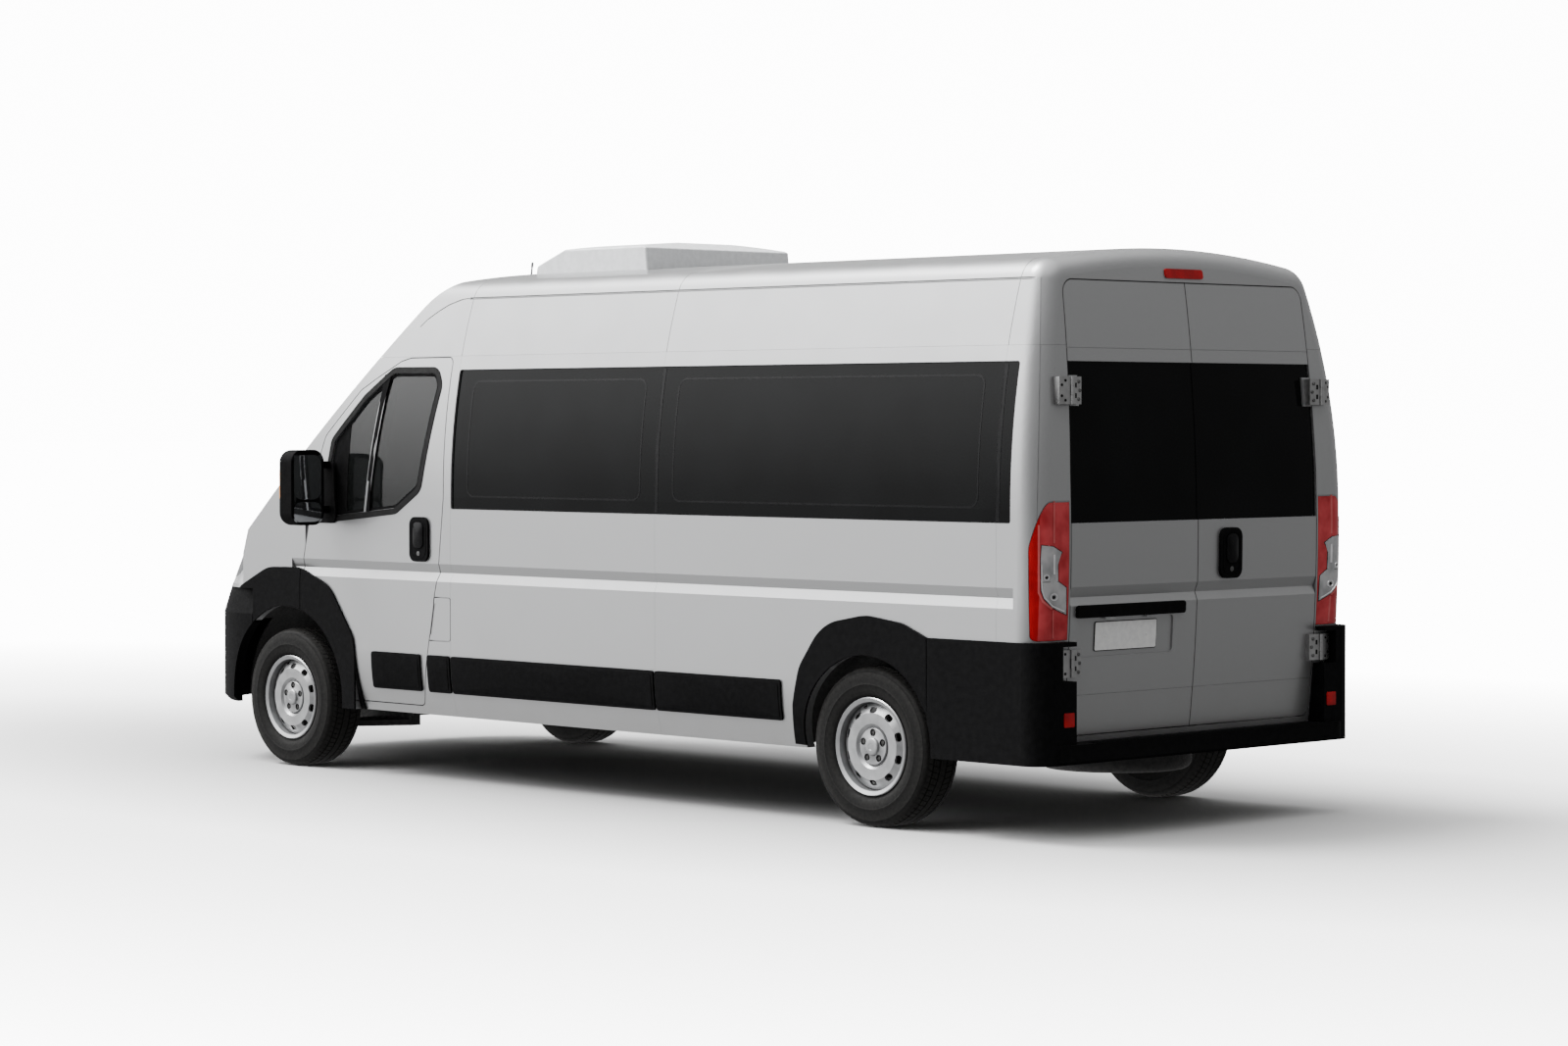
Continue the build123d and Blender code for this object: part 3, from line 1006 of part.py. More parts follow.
WHEEL_CENTRE = (1415, 430, 1130)
COLUMN_LEAN = 32                   # of the column from upright
column_up = (-math.sin(math.radians(COLUMN_LEAN)), 0, math.cos(math.radians(COLUMN_LEAN)))
wheel_plane = Plane(origin=WHEEL_CENTRE, x_dir=(0, 1, 0), z_dir=column_up)
STEERING_RADIUS = 205
rim_ring = wheel_plane * Torus(STEERING_RADIUS, 14)
boss = wheel_plane * (Pos(0, 0, -12) * Cylinder(62, 44))
spokes = [wheel_plane * (Rot(0, 0, a) * (Pos(STEERING_RADIUS / 2 + 20, 0, -6) * Box(
    STEERING_RADIUS - 45, 34, 14))) for a in (-20, 90, 200)]
steering_wheel = rim_ring + boss
for spoke in spokes:
    steering_wheel = steering_wheel + spoke
save("steering_wheel", steering_wheel)
column = wheel_plane * (Pos(0, 0, -34 - SEAT - 110) * Cylinder(30, 220))
column = column - dash
save("steering_column", column.solids().sort_by(SortBy.VOLUME)[-1])

# seat, side view about its cushion's front lower corner: x, z, radius
SEAT_PROFILE = [
    (0, 0, 30), (15, 115, 40), (-420, 90, 30), (-520, 640, 0), (-515, 655, 20), (-530, 800, 40),
    (-610, 800, 40), (-610, 660, 20), (-600, 640, 0), (-530, 0, 40),
]


def seat(front_x, y, base_z, width):
    profile = [(front_x + x, base_z + z, r) for x, z, r in SEAT_PROFILE]
    return side_prism(rounded(profile), y - width / 2, y + width / 2)


SEAT_ROWS = [215, -560, -1335, -2110]        # front edge of each row's cushions
SEAT_WIDTH = 425
SEAT_COLUMNS = [705, 265, -690]
PASSENGER_SEAT_Z = 880
passenger = [seat(x, y, PASSENGER_SEAT_Z, SEAT_WIDTH) for x in SEAT_ROWS for y in SEAT_COLUMNS]
passenger_seats = Compound(children=passenger)
save("passenger_seats", passenger_seats)
CAB_SEAT_Z = 800
CAB_SEAT_X = 1370
driver_seat = seat(CAB_SEAT_X, 430, CAB_SEAT_Z, 500)
front_bench = seat(CAB_SEAT_X, -410, CAB_SEAT_Z, 900)
save("cab_seats", Compound(children=[driver_seat, front_bench]))


def seat_stand(front_x, y, base_z, width):
    """A tray under the cushion on two legs."""
    tray = block(front_x - 500, front_x - 40, y - width / 2 + 30, y + width / 2 - 30,
                 base_z - 30, base_z - SEAT)
    legs = [block(front_x - back - 40, front_x - back, y - 60, y + 60, FLOOR_Z + SEAT, base_z - 29)
            for back in (80, 420)]
    return tray + legs[0] + legs[1]


def pair_stand(front_x):
    """One stand for the two seats on the left, clear of the wheelhouse."""
    tray = block(front_x - 500, front_x - 40, 80, 890, PASSENGER_SEAT_Z - 30,
                 PASSENGER_SEAT_Z - SEAT)
    legs = [block(front_x - back - 40, front_x - back, y - 30, y + 30, FLOOR_Z + SEAT,
                  PASSENGER_SEAT_Z - 29) for back in (80, 420) for y in (140, 545)]
    for leg in legs:
        tray = tray + leg
    return tray


def single_stand(front_x):
    tray = block(front_x - 500, front_x - 40, -880, -500, PASSENGER_SEAT_Z - 30,
                 PASSENGER_SEAT_Z - SEAT)
    for back in (80, 420):
        tray = tray + block(front_x - back - 40, front_x - back, -570, -510, FLOOR_Z + SEAT,
                            PASSENGER_SEAT_Z - 29)
    return tray


stands = [pair_stand(x) for x in SEAT_ROWS] + [single_stand(x) for x in SEAT_ROWS]
save("passenger_seat_frames", Compound(children=stands))
save("cab_seat_frames", Compound(children=[seat_stand(CAB_SEAT_X, 430, CAB_SEAT_Z, 480),
                                           seat_stand(CAB_SEAT_X, -410, CAB_SEAT_Z, 880)]))
print("inside done")

# ================================================================ fittings outside
HINGE_HEIGHT = 112
BARREL_RADIUS = 9
PIN_RADIUS = 4.5
# plan of a hinge leaf from the axis: forward, sideways
HINGE_ARM = [(66, 67), (11, 67), (6, 41), (1, 6), (8, 4), (66, 36)]
face_form = cabin_form(-SEAT)


def hinge_arm(side, z_low, z_high):
    return plan_prism(polygon([(REAR_HINGE_X + x, REAR_HINGE_Y + side * y) for x, y in HINGE_ARM]),
                      z_low, z_high)


brackets = []
leaves = []
for z in HINGE_Z:
    low, high = z - HINGE_HEIGHT / 2, z + HINGE_HEIGHT / 2
    third = HINGE_HEIGHT / 3
    axis_xy = (REAR_HINGE_X, REAR_HINGE_Y)
    bracket = hinge_arm(1, low, high)
    bracket = bracket + post(*axis_xy, low, high, BARREL_RADIUS)
    bracket = bracket - post(*axis_xy, low + third - 1, high - third + 1, BARREL_RADIUS + 3)
    bracket = bracket + post(*axis_xy, low, high, PIN_RADIUS)
    brackets.append(bracket - face_form)
    leaf = hinge_arm(-1, low, high)
    leaf = leaf + post(*axis_xy, low, high, BARREL_RADIUS)
    for end in (low - 1, high - third):
        leaf = leaf - post(*axis_xy, end, end + third + 1, BARREL_RADIUS + 3)
    leaf = leaf - post(*axis_xy, low, high, PIN_RADIUS + SEAT)
    leaves.append(leaf - face_form)
left_brackets = brackets[0] + brackets[1]
left_leaves = leaves[0] + leaves[1]
save("rear_hinge_brackets", left_brackets + mirrored(left_brackets))

# roof unit, side view: x, height above the roof's middle, radius
AC_PROFILE = [(-10, -55, 0), (5, 84, 10), (100, 118, 60), (500, 122, 80), (788, 18, 25),
              (802, -55, 0)]
AC_HALF_WIDTH = 465
AC_CROWN_RADIUS = 3400
unit = side_prism(rounded([(x, ROOF_Z + rise, r) for x, rise, r in AC_PROFILE]), -AC_HALF_WIDTH,
                  AC_HALF_WIDTH)
unit = unit & end_prism(Pos(0, ROOF_Z + AC_PROFILE[3][1] - AC_CROWN_RADIUS) * Circle(AC_CROWN_RADIUS))
unit_edges = [e for e in unit.edges()
              if abs(abs(e.center().Y) - AC_HALF_WIDTH) < 1 and e.center().Z > ROOF_Z - 25]
unit = fillet(unit_edges, 10)
unit = unit - cabin_form(-SEAT)
save("roof_air_conditioner", unit)

brake_lamp = end_prism(Pos(0, GUTTER_Z + 35) * RectangleRounded(244, 40, 12), -LONG, REAR_PILLAR_X)
brake_lamp = brake_lamp & (cabin_form(-6) - cabin_form(-SEAT))
save("high_brake_lamp", brake_lamp)

bar = end_prism(Pos(427, 933) * RectangleRounded(676, 52, 14), -LONG, REAR_PILLAR_X)
bar = bar & (cabin_form(-16) - cabin_form(-SEAT))
rear_handle = end_prism(Pos(-206, 1150) * RectangleRounded(140, 214, 40), -LONG, REAR_PILLAR_X)
rear_handle = rear_handle & (cabin_form(-14) - cabin_form(-SEAT))
save("rear_left_door_fittings", left_leaves + bar)
save("rear_right_door_fittings", mirrored(left_leaves) + rear_handle)
side_handle = side_prism(Pos(996, 1148) * RectangleRounded(140, 212, 40), 0, OUT)
side_handle = side_handle & (cabin_form(-12) - cabin_form(-SEAT))
save("front_left_door_handle", side_handle)
save("front_right_door_handle", mirrored(side_handle))
slide_handle = side_prism(Pos(640, 1148) * RectangleRounded(140, 212, 40), 0, OUT)
save("sliding_door_handle", mirrored(slide_handle & (cabin_form(-12) - cabin_form(-SEAT))))

MIRROR_CENTRE = (HALF_WIDTH + 170, 1388)       # y, z
MIRROR_X = (1650, 1778)
MIRROR_CORNER = 62
# upper and lower glass: height of its middle, height, corner radius
MIRROR_GLASSES = [(1438, 216, 44), (1269, 96, 34)]
mirror_shell = end_prism(Pos(*MIRROR_CENTRE) * RectangleRounded(198, 366, MIRROR_CORNER), *MIRROR_X)
front_rim = [e for e in mirror_shell.edges() if abs(e.center().X - MIRROR_X[1]) < 1]
mirror_shell = fillet(fillet(front_rim, 46).edges().group_by(Axis.X)[0], 5)
mirror_glass = []
for z, height, radius in MIRROR_GLASSES:
    recess = Pos(MIRROR_CENTRE[0], z) * RectangleRounded(168, height, radius)
    mirror_shell = mirror_shell - end_prism(recess, MIRROR_X[0] - 10, MIRROR_X[0] + 7)
    mirror_glass.append(end_prism(grown(recess, -2), MIRROR_X[0] + 2, MIRROR_X[0] + 7 - SEAT))
arms = [block(1690, 1730, HALF_WIDTH - 18, HALF_WIDTH + 92, z, z + 34) for z in (1262, 1480)]
foot = side_prism(rounded([(1640, 1240, 15), (1660, 1520, 30), (1745, 1500, 40), (1830, 1262, 20),
                           (1800, 1212, 20), (1660, 1212, 20)]), 0, OUT)
foot = foot & (cabin_form(-12) - cabin_form(-SEAT))
mirror_body = (mirror_shell + arms[0] + arms[1]) - cabin_form(-SEAT) + foot
mirror_body = Compound(children=mirror_body.solids() + mirror_glass)
save("left_mirror", mirror_body)
save("right_mirror", mirrored(mirror_body))
print("fittings done")
write_nodes()
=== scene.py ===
"""Looks of a long high-roof minibus: materials, small fittings, seats, floor, light and camera."""
import json
import math

import bmesh
import bpy
from mathutils import Matrix, Vector
from mathutils.bvhtree import BVHTree


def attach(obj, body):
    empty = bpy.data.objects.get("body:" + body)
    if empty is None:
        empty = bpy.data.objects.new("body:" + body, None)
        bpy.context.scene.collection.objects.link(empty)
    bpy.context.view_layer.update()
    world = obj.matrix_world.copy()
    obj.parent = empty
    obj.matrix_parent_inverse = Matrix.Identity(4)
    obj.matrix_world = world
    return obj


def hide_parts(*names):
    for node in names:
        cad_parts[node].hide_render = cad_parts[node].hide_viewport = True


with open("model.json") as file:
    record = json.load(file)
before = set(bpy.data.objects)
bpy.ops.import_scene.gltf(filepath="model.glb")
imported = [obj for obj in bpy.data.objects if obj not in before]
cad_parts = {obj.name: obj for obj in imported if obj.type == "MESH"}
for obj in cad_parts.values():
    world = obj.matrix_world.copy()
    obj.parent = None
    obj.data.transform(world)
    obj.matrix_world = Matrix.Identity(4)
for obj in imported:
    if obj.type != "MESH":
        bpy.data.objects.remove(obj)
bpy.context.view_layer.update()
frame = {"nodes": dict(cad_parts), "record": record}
NODES = frame["nodes"]
SHARP = math.radians(38)             # edges bent more than this stay crisp
X, Y, Z = Vector((1, 0, 0)), Vector((0, 1, 0)), Vector((0, 0, 1))


def added(name, data):
    """A new object in the scene."""
    made = bpy.data.objects.new(name, data)
    bpy.context.scene.collection.objects.link(made)
    return made


def meshed(name, verts, faces):
    mesh = bpy.data.meshes.new(name)
    mesh.from_pydata([tuple(v) for v in verts], [], faces)
    return mesh


# ---------------------------------------------------------------- materials
class Surface:
    """A Principled material with helpers for its procedural detail."""

    def __init__(self, name, **sockets):
        self.material = bpy.data.materials.new(name)
        self.material.use_nodes = True
        self.tree = self.material.node_tree
        self.shader = self.tree.nodes["Principled BSDF"]
        self.place = self.tree.nodes.new("ShaderNodeTexCoord")
        self.normal = None
        for socket, value in sockets.items():
            self.shader.inputs[socket.replace("_", " ")].default_value = value

    def node(self, kind, **values):
        made = self.tree.nodes.new(kind)
        for socket, value in values.items():
            made.inputs[socket.replace("_", " ")].default_value = value
        return made

    def link(self, source, target):
        self.tree.links.new(source, target)

    def placed(self, kind, **values):
        """A node that reads the object's own coordinates."""
        made = self.node(kind, **values)
        self.link(self.place.outputs["Object"], made.inputs["Vector"])
        return made

    def noise(self, scale, detail):
        return self.placed("ShaderNodeTexNoise", Scale=scale, Detail=detail).outputs["Fac"]

    def cells(self, scale):
        return self.placed("ShaderNodeTexVoronoi", Scale=scale).outputs["Distance"]

    def edges(self, low=0.5, high=0.56):
        """0 on flats and 1 along outer edges, where handling polishes the surface and where
        plastics carry a painted highlight.
        """
        shape = self.node("ShaderNodeNewGeometry")
        between = self.node("ShaderNodeMapRange", From_Min=low, From_Max=high)
        self.link(shape.outputs["Pointiness"], between.inputs["Value"])
        return between.outputs["Result"]

    def height(self, low, high):
        """1 at the low level, fading to 0 at the high one, in metres above the ground."""
        between = self.node("ShaderNodeMapRange", From_Min=high, From_Max=low)
        self.link(self.placed("ShaderNodeSeparateXYZ").outputs["Z"], between.inputs["Value"])
        return between.outputs["Result"]

    def times(self, product, *others):
        """A value times others, each of them a socket or a number."""
        for other in others:
            made = self.node("ShaderNodeMath")
            made.operation = "MULTIPLY"
            self.link(product, made.inputs[0])
            if isinstance(other, float):
                made.inputs[1].default_value = other
            else:
                self.link(other, made.inputs[1])
            product = made.outputs[0]
        return product

    def colours(self, source, stops):
        ramp = self.node("ShaderNodeValToRGB")
        while len(ramp.color_ramp.elements) < len(stops):
            ramp.color_ramp.elements.new(0.5)
        for element, (place, value) in zip(ramp.color_ramp.elements, stops):
            element.position = place
            element.color = (value, value, value, 1) if isinstance(value, float) else (*value, 1)
        self.link(source, ramp.inputs["Fac"])
        return ramp.outputs["Color"]

    def over(self, base, share, colour):
        """Lays one colour over another by a share."""
        mix = self.node("ShaderNodeMixRGB")
        self.link(share, mix.inputs["Fac"])
        self.link(base, mix.inputs["Color1"])
        mix.inputs["Color2"].default_value = (*colour, 1)
        return mix.outputs["Color"]

    def ramp(self, source, stops, target):
        """Maps a 0 to 1 value through stops of (place, value or colour) into a socket."""
        self.link(self.colours(source, stops), self.shader.inputs[target])
        return self

    def bump(self, source, strength, distance=0.001):
        bump = self.node("ShaderNodeBump", Strength=strength, Distance=distance)
        self.link(source, bump.inputs["Height"])
        if self.normal is not None:
            self.link(self.normal, bump.inputs["Normal"])
        self.normal = bump.outputs["Normal"]
        self.link(self.normal, self.shader.inputs["Normal"])
        return self


def paint():
    """Silver metallic with fine flake and a little road dust low down."""
    s = Surface("silver_paint", Metallic=0.75, Coat_Weight=0.35, Coat_Roughness=0.06, Coat_IOR=1.45)
    flake = s.colours(s.noise(1500, 3), [(0.35, (0.215, 0.217, 0.22)),
                                         (0.65, (0.265, 0.267, 0.27))])
    dust = s.times(s.height(0.30, 0.75), s.noise(7, 4), 0.35)
    s.link(s.over(flake, dust, (0.17, 0.165, 0.155)), s.shader.inputs["Base Color"])
    s.ramp(s.noise(5, 3), [(0.3, 0.33), (0.7, 0.40)], "Roughness")
    return s.bump(s.noise(260, 2), 0.012, 0.0004).material


def plastic(name, dark, light, grain=900, rough=(0.5, 0.68), strength=0.35, shine=0.25, lighter_edges=0.0):
    s = Surface(name, Specular_IOR_Level=shine)
    base = s.colours(s.noise(40, 4), [(0.35, dark), (0.7, light)])
    # lighter outer edges on plastics: partly wear, partly a painted highlight along the edges
    if lighter_edges:
        lighter_edge_share = s.times(s.edges(), s.noise(30, 4), lighter_edges)
        base = s.over(base, lighter_edge_share, tuple(min(1, 3.5 * c + 0.01) for c in light))
    s.link(base, s.shader.inputs["Base Color"])
    s.ramp(s.noise(120, 3), [(0.3, rough[0]), (0.7, rough[1])], "Roughness")
    s.bump(s.cells(grain), strength, 0.0004)
    return s.bump(s.noise(grain / 3, 3), strength, 0.0004).material


def metal(name, dark, light, rough=(0.28, 0.45), metallic=1.0, lighter_edges=0.0):
    s = Surface(name, Metallic=metallic)
    base = s.colours(s.noise(18, 4), [(0.3, dark), (0.7, light)])
    if lighter_edges:
        lighter_edge_share = s.times(s.edges(), s.noise(40, 4), lighter_edges)
        base = s.over(base, lighter_edge_share, tuple(min(1, 1.5 * c) for c in light))
    s.link(base, s.shader.inputs["Base Color"])
    s.ramp(s.noise(220, 3), [(0.3, rough[0]), (0.7, rough[1])], "Roughness")
    return s.bump(s.noise(220, 3), 0.12, 0.0003).material


def glass(name, dark, light, transmission, shine, rough=0.02):
    s = Surface(name, Transmission_Weight=transmission, IOR=1.26, Roughness=rough,
                Specular_IOR_Level=shine)
    s.ramp(s.noise(3, 2), [(0.35, dark), (0.65, light)], "Base Color")
    return s.bump(s.noise(6, 1), 0.02, 0.0005).material


def lens(name, dark, light, ribs=0, transmission=0.0, shine=0.12):
    """Moulded lamp plastic, with fine optics where ribs is above nothing."""
    s = Surface(name, Roughness=0.12, Coat_Weight=0.1, Coat_Roughness=0.03, IOR=1.4,
                Specular_IOR_Level=shine, Transmission_Weight=transmission)
    s.ramp(s.noise(12, 2), [(0.35, dark), (0.65, light)], "Base Color")
    if ribs:
        s.bump(s.cells(ribs), 0.25, 0.0006)
    return s.bump(s.noise(30, 2), 0.02, 0.0004).material


def rubber():
    s = Surface("tyre_rubber", Specular_IOR_Level=0.06)
    base = s.colours(s.noise(60, 5), [(0.3, (0.0028, 0.0028, 0.0028)),
                                      (0.75, (0.0065, 0.0064, 0.0062))])
    lighter_edge_share = s.times(s.edges(0.49, 0.55), s.noise(70, 4), 0.35)
    s.link(s.over(base, lighter_edge_share, (0.05, 0.048, 0.045)), s.shader.inputs["Base Color"])
    s.ramp(s.noise(90, 3), [(0.3, 0.58), (0.7, 0.8)], "Roughness")
    return s.bump(s.noise(500, 4), 0.25, 0.0004).material


def cloth(name, dark, light):
    s = Surface(name, Roughness=0.95, Sheen_Weight=0.25, Sheen_Roughness=0.5)
    weave = s.placed("ShaderNodeTexWave", Scale=260, Distortion=1.2, Detail=2)
    s.ramp(s.noise(240, 4), [(0.3, dark), (0.7, light)], "Base Color")
    return s.bump(weave.outputs["Fac"], 0.4, 0.0006).bump(s.noise(700, 3), 0.3, 0.0004).material


PAINT = paint()
BLACK_PLASTIC = plastic("black_plastic", (0.0011, 0.0011, 0.0012), (0.0024, 0.0024, 0.0026),
                        shine=0.018, lighter_edges=0.15)
GLOSS_BLACK = plastic("gloss_black", (0.002, 0.002, 0.0023), (0.004, 0.004, 0.0043), 400,
                      (0.12, 0.22), 0.03, 0.06)
WINDOW_RUBBER = plastic("window_rubber", (0.004, 0.004, 0.004), (0.008, 0.008, 0.008), 600,
                        (0.5, 0.7), 0.15, 0.06)
CABIN_PLASTIC = plastic("cabin_plastic", (0.02, 0.021, 0.024), (0.034, 0.035, 0.039), 700, lighter_edges=0.2)
LINING = plastic("cabin_lining", (0.20, 0.20, 0.195), (0.26, 0.26, 0.255), 500, (0.75, 0.9), 0.2)
FLOOR_VINYL = plastic("floor_vinyl", (0.03, 0.032, 0.036), (0.055, 0.058, 0.064), 500, (0.6, 0.8),
                      0.3)
ROOF_UNIT = plastic("roof_unit", (0.50, 0.51, 0.52), (0.58, 0.59, 0.60), 600, (0.4, 0.55), 0.1, 0.4)
CHASSIS = plastic("chassis_black", (0.006, 0.006, 0.006), (0.016, 0.0155, 0.015), 300, (0.5, 0.8),
                  0.3, 0.2, 0.3)
CAST = metal("cast_metal", (0.05, 0.05, 0.05), (0.11, 0.11, 0.11), (0.5, 0.7), lighter_edges=0.4)
BARE_STEEL = metal("bare_steel", (0.15, 0.15, 0.15), (0.27, 0.27, 0.27), (0.3, 0.5), lighter_edges=0.5)
WHEEL_SILVER = metal("wheel_silver", (0.17, 0.172, 0.175), (0.23, 0.232, 0.235), (0.30, 0.42), 0.8,
                     lighter_edges=0.4)
MIRROR_GLASS = metal("mirror_glass", (0.62, 0.64, 0.66), (0.70, 0.72, 0.74), (0.01, 0.03))
CHROME = metal("chrome", (0.70, 0.70, 0.71), (0.82, 0.82, 0.83), (0.04, 0.10))
PRIVACY = glass("privacy_glass", (0.0012, 0.0013, 0.0014), (0.0024, 0.0026, 0.0028), 0.30, 0.02)
# painted shade: the clear glass gets a near black colour, which dims the cabin behind it like a
# shaded interior
SHADE_DARKENED_CLEAR = glass("clear_glass", (0.035, 0.038, 0.038), (0.05, 0.054, 0.054), 0.92, 0.05)
RED_LENS = lens("red_lens", (0.17, 0.0012, 0.003), (0.30, 0.0025, 0.005), 260)
SOFT_RED_LENS = lens("soft_red_lens", (0.25, 0.014, 0.018), (0.38, 0.04, 0.045), 200)
PALE_RED_LENS = lens("pale_red_lens", (0.34, 0.06, 0.06), (0.42, 0.09, 0.09), 200)
LAMP_BOWL = lens("lamp_bowl", (0.020, 0.021, 0.023), (0.060, 0.062, 0.066), 160, 0.0, 0.5)
CLEAR_LENS = lens("clear_lens", (0.22, 0.225, 0.23), (0.38, 0.385, 0.39), 220, 0.25, 0.5)
AMBER_LENS = lens("amber_lens", (0.45, 0.15, 0.03), (0.6, 0.24, 0.06), 300)
TYRE = rubber()
SEAT_CLOTH = cloth("seat_cloth", (0.018, 0.021, 0.03), (0.04, 0.046, 0.062))
SEAT_PIPING = cloth("seat_piping", (0.08, 0.08, 0.09), (0.13, 0.13, 0.14))
PLATE_WHITE = plastic("plate_white", (0.50, 0.50, 0.50), (0.58, 0.58, 0.57), 300, (0.3, 0.4), 0.03,
                      0.4)

BY_SLOT = {
    "paint": PAINT, "privacy_glass": PRIVACY, "clear_glass": SHADE_DARKENED_CLEAR,
    "textured_plastic": BLACK_PLASTIC, "steel": BARE_STEEL, "lamp_red": RED_LENS,
    "lamp_clear": CLEAR_LENS, "tyre": TYRE, "wheel_silver": WHEEL_SILVER,
    "chassis_black": CHASSIS, "cast_metal": CAST, "seat_fabric": SEAT_CLOTH,
    "steering_grip": CABIN_PLASTIC, "roof_unit_plastic": ROOF_UNIT,
}


def coat(node, material):
    NODES[node].data.materials.clear()
    NODES[node].data.materials.append(material)


def tint(node, material, test):
    """Gives the faces of a node that pass a test of centre and normal another material."""
    mesh = NODES[node].data
    mesh.materials.append(material)
    for face in mesh.polygons:
        if test(face.center, face.normal):
            face.material_index = len(mesh.materials) - 1


for part in frame["record"]["subparts"]:
    coat(part["node"], BY_SLOT[part["material_slot"]])


# ---------------------------------------------------------------- shapes
def spokes(first, second, count):
    """Unit steps all round, from the first direction by way of the second."""
    turns = [2 * math.pi * k / count for k in range(count)]
    return [first * math.cos(t) + second * math.sin(t) for t in turns]


def about(axis, count):
    """An axis at unit length and the spokes square to it."""
    axis = Vector(axis).normalized()
    first = axis.orthogonal().normalized()
    return axis, spokes(first, axis.cross(first), count)


def heading(points, i):
    """The direction of an open line at one of its points."""
    return (points[min(i + 1, len(points) - 1)] - points[max(i - 1, 0)]).normalized()


class Shape:
    """Gathers the vertices and faces of one piece, which may be several closed forms.

    Patches, bands and strips lie on a CAD node, seen along a direction of sight."""

    def __init__(self, node=None, sight=None):
        self.node, self.sight = node, sight
        self.verts, self.faces = [], []

    def add(self, verts, faces):
        start = len(self.verts)
        self.verts += [Vector(v) for v in verts]
        self.faces += [tuple(start + i for i in face) for face in faces]
        return self

    def box(self, low, high):
        corners = [(x, y, z) for x in (low[0], high[0]) for y in (low[1], high[1])
                   for z in (low[2], high[2])]
        return self.add(corners, [(0, 1, 3, 2), (4, 6, 7, 5), (0, 4, 5, 1), (2, 3, 7, 6),
                                  (0, 2, 6, 4), (1, 5, 7, 3)])

    def layers(self, loops, closed=False):
        """Skins loops of equal length; ends are capped unless the last loop joins the first."""
        count = len(loops[0])
        rows = len(loops)
        faces = []
        for i in range(rows if closed else rows - 1):
            following = (i + 1) % rows
            for j in range(count):
                k = (j + 1) % count
                faces.append((i * count + j, i * count + k, following * count + k,
                              following * count + j))
        if not closed:
            faces.append(tuple(range(count))[::-1])
            faces.append(tuple((rows - 1) * count + j for j in range(count)))
        return self.add([p for loop in loops for p in loop], faces)

    def lathe(self, profile, centre, steps):
        """Turns a closed outline of (along, radius) points about an axle."""
        axis, round_it = about(Y, steps)
        return self.layers([[Vector(centre) + axis * a + out * r for a, r in profile]
                            for out in round_it], closed=True)

    def disc(self, profile, centre, axis=Y, steps=32):
        """Turns an open outline, whose two ends lie near the axis, about it."""
        axis, round_it = about(axis, steps)
        return self.layers([[Vector(centre) + axis * a + out * r for out in round_it]
                            for a, r in profile])

    def tube(self, points, radius, sides=12):
        points = [Vector(p) for p in points]
        loops = []
        side = (points[1] - points[0]).orthogonal().normalized()
        for i, p in enumerate(points):
            ahead = heading(points, i)
            side = (side - ahead * side.dot(ahead)).normalized()
            loops.append([p + out * radius for out in spokes(side, ahead.cross(side), sides)])
        return self.layers(loops)

    def patch(self, outline, thickness, lift=0.0, rings=2, dome=0.0):
        """A thin closed plate that follows the node's surface under an outline."""
        outline = spaced(outline)
        middle = sum(outline, Vector((0, 0))) / len(outline)
        top, low = [], []
        for k in range(rings):
            share = 1 - k / rings
            loop = [middle + (p - middle) * share for p in outline]
            rise = dome * (1 - share * share)
            top.append(touch(self.node, self.sight, loop, lift + thickness + rise))
            low.append(touch(self.node, self.sight, loop, lift))
        return self.layers(low[::-1] + top)

    def ridge(self, outer, inner, thickness, lift):
        """The four edges of a ridge between two lines on the node's surface."""
        return [touch(self.node, self.sight, line, height) for line, height in (
            (outer, lift), (outer, lift + thickness), (inner, lift + thickness), (inner, lift))]

    def band(self, outline, width, thickness, lift=0.0):
        """A closed strip along an outline, lying on the node's surface."""
        outline = spaced(outline)
        return self.layers(self.ridge(outline, inset(outline, width), thickness, lift), closed=True)

    def strip(self, line, width, thickness, lift=0.0):
        """A raised strip along an open line on the node's surface."""
        edges = self.ridge(*zip(*ribbon(line, width, 0.012)), thickness, lift)
        return self.layers([list(section) for section in zip(*edges)])

    def place(self, name, material, body="root", slot="textured_plastic", bevel=0.0, node=None):
        """Makes the form a piece that rides with a body."""
        mesh = meshed(name, self.verts, self.faces)
        made = added(name, mesh)
        work = bmesh.new()
        work.from_mesh(mesh)
        bmesh.ops.recalc_face_normals(work, faces=work.faces)
        if bevel:
            sharp = [e for e in work.edges if e.is_manifold and e.calc_face_angle(0) > 0.6]
            bmesh.ops.bevel(work, geom=sharp, offset=bevel, segments=2, affect="EDGES",
                            clamp_overlap=True)
        work.to_mesh(mesh)
        work.free()
        mesh.shade_smooth()
        mesh.set_sharp_from_angle(angle=SHARP)
        mesh.materials.append(material)
        if node:
            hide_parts(node)
        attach(made, body)
        return made


def rounded(corners, steps=6):
    """An outline from a table of corners: across, up, radius."""
    points = []
    count = len(corners)
    for i, (a, b, radius) in enumerate(corners):
        here = Vector((a, b))
        if not radius:
            points.append(here)
            continue
        before = (Vector(corners[i - 1][:2]) - here).normalized()
        after = (Vector(corners[(i + 1) % count][:2]) - here).normalized()
        half = before.angle(after) / 2
        reach = radius / math.tan(half)
        centre = here + (before + after).normalized() * radius / math.sin(half)
        first = here + before * reach - centre
        last = here + after * reach - centre
        sweep = math.atan2(first.x * last.y - first.y * last.x, first.dot(last))
        for k in range(steps + 1):
            c, s = math.cos(sweep * k / steps), math.sin(sweep * k / steps)
            points.append(centre + Vector((c * first.x - s * first.y, s * first.x + c * first.y)))
    return points


def oblong(low, high, bottom, top, radius):
    """A rectangle with round corners between its sides."""
    return rounded([(low, bottom, radius), (high, bottom, radius), (high, top, radius),
                    (low, top, radius)])


def pad(a, b, width, height, radius):
    """A rectangle with round corners about its middle."""
    return oblong(a - width / 2, a + width / 2, b - height / 2, b + height / 2, radius)


def ring(a, b, radius, steps=24):
    return [Vector((a, b)) + out * radius for out in spokes(X.xy, Y.xy, steps)]


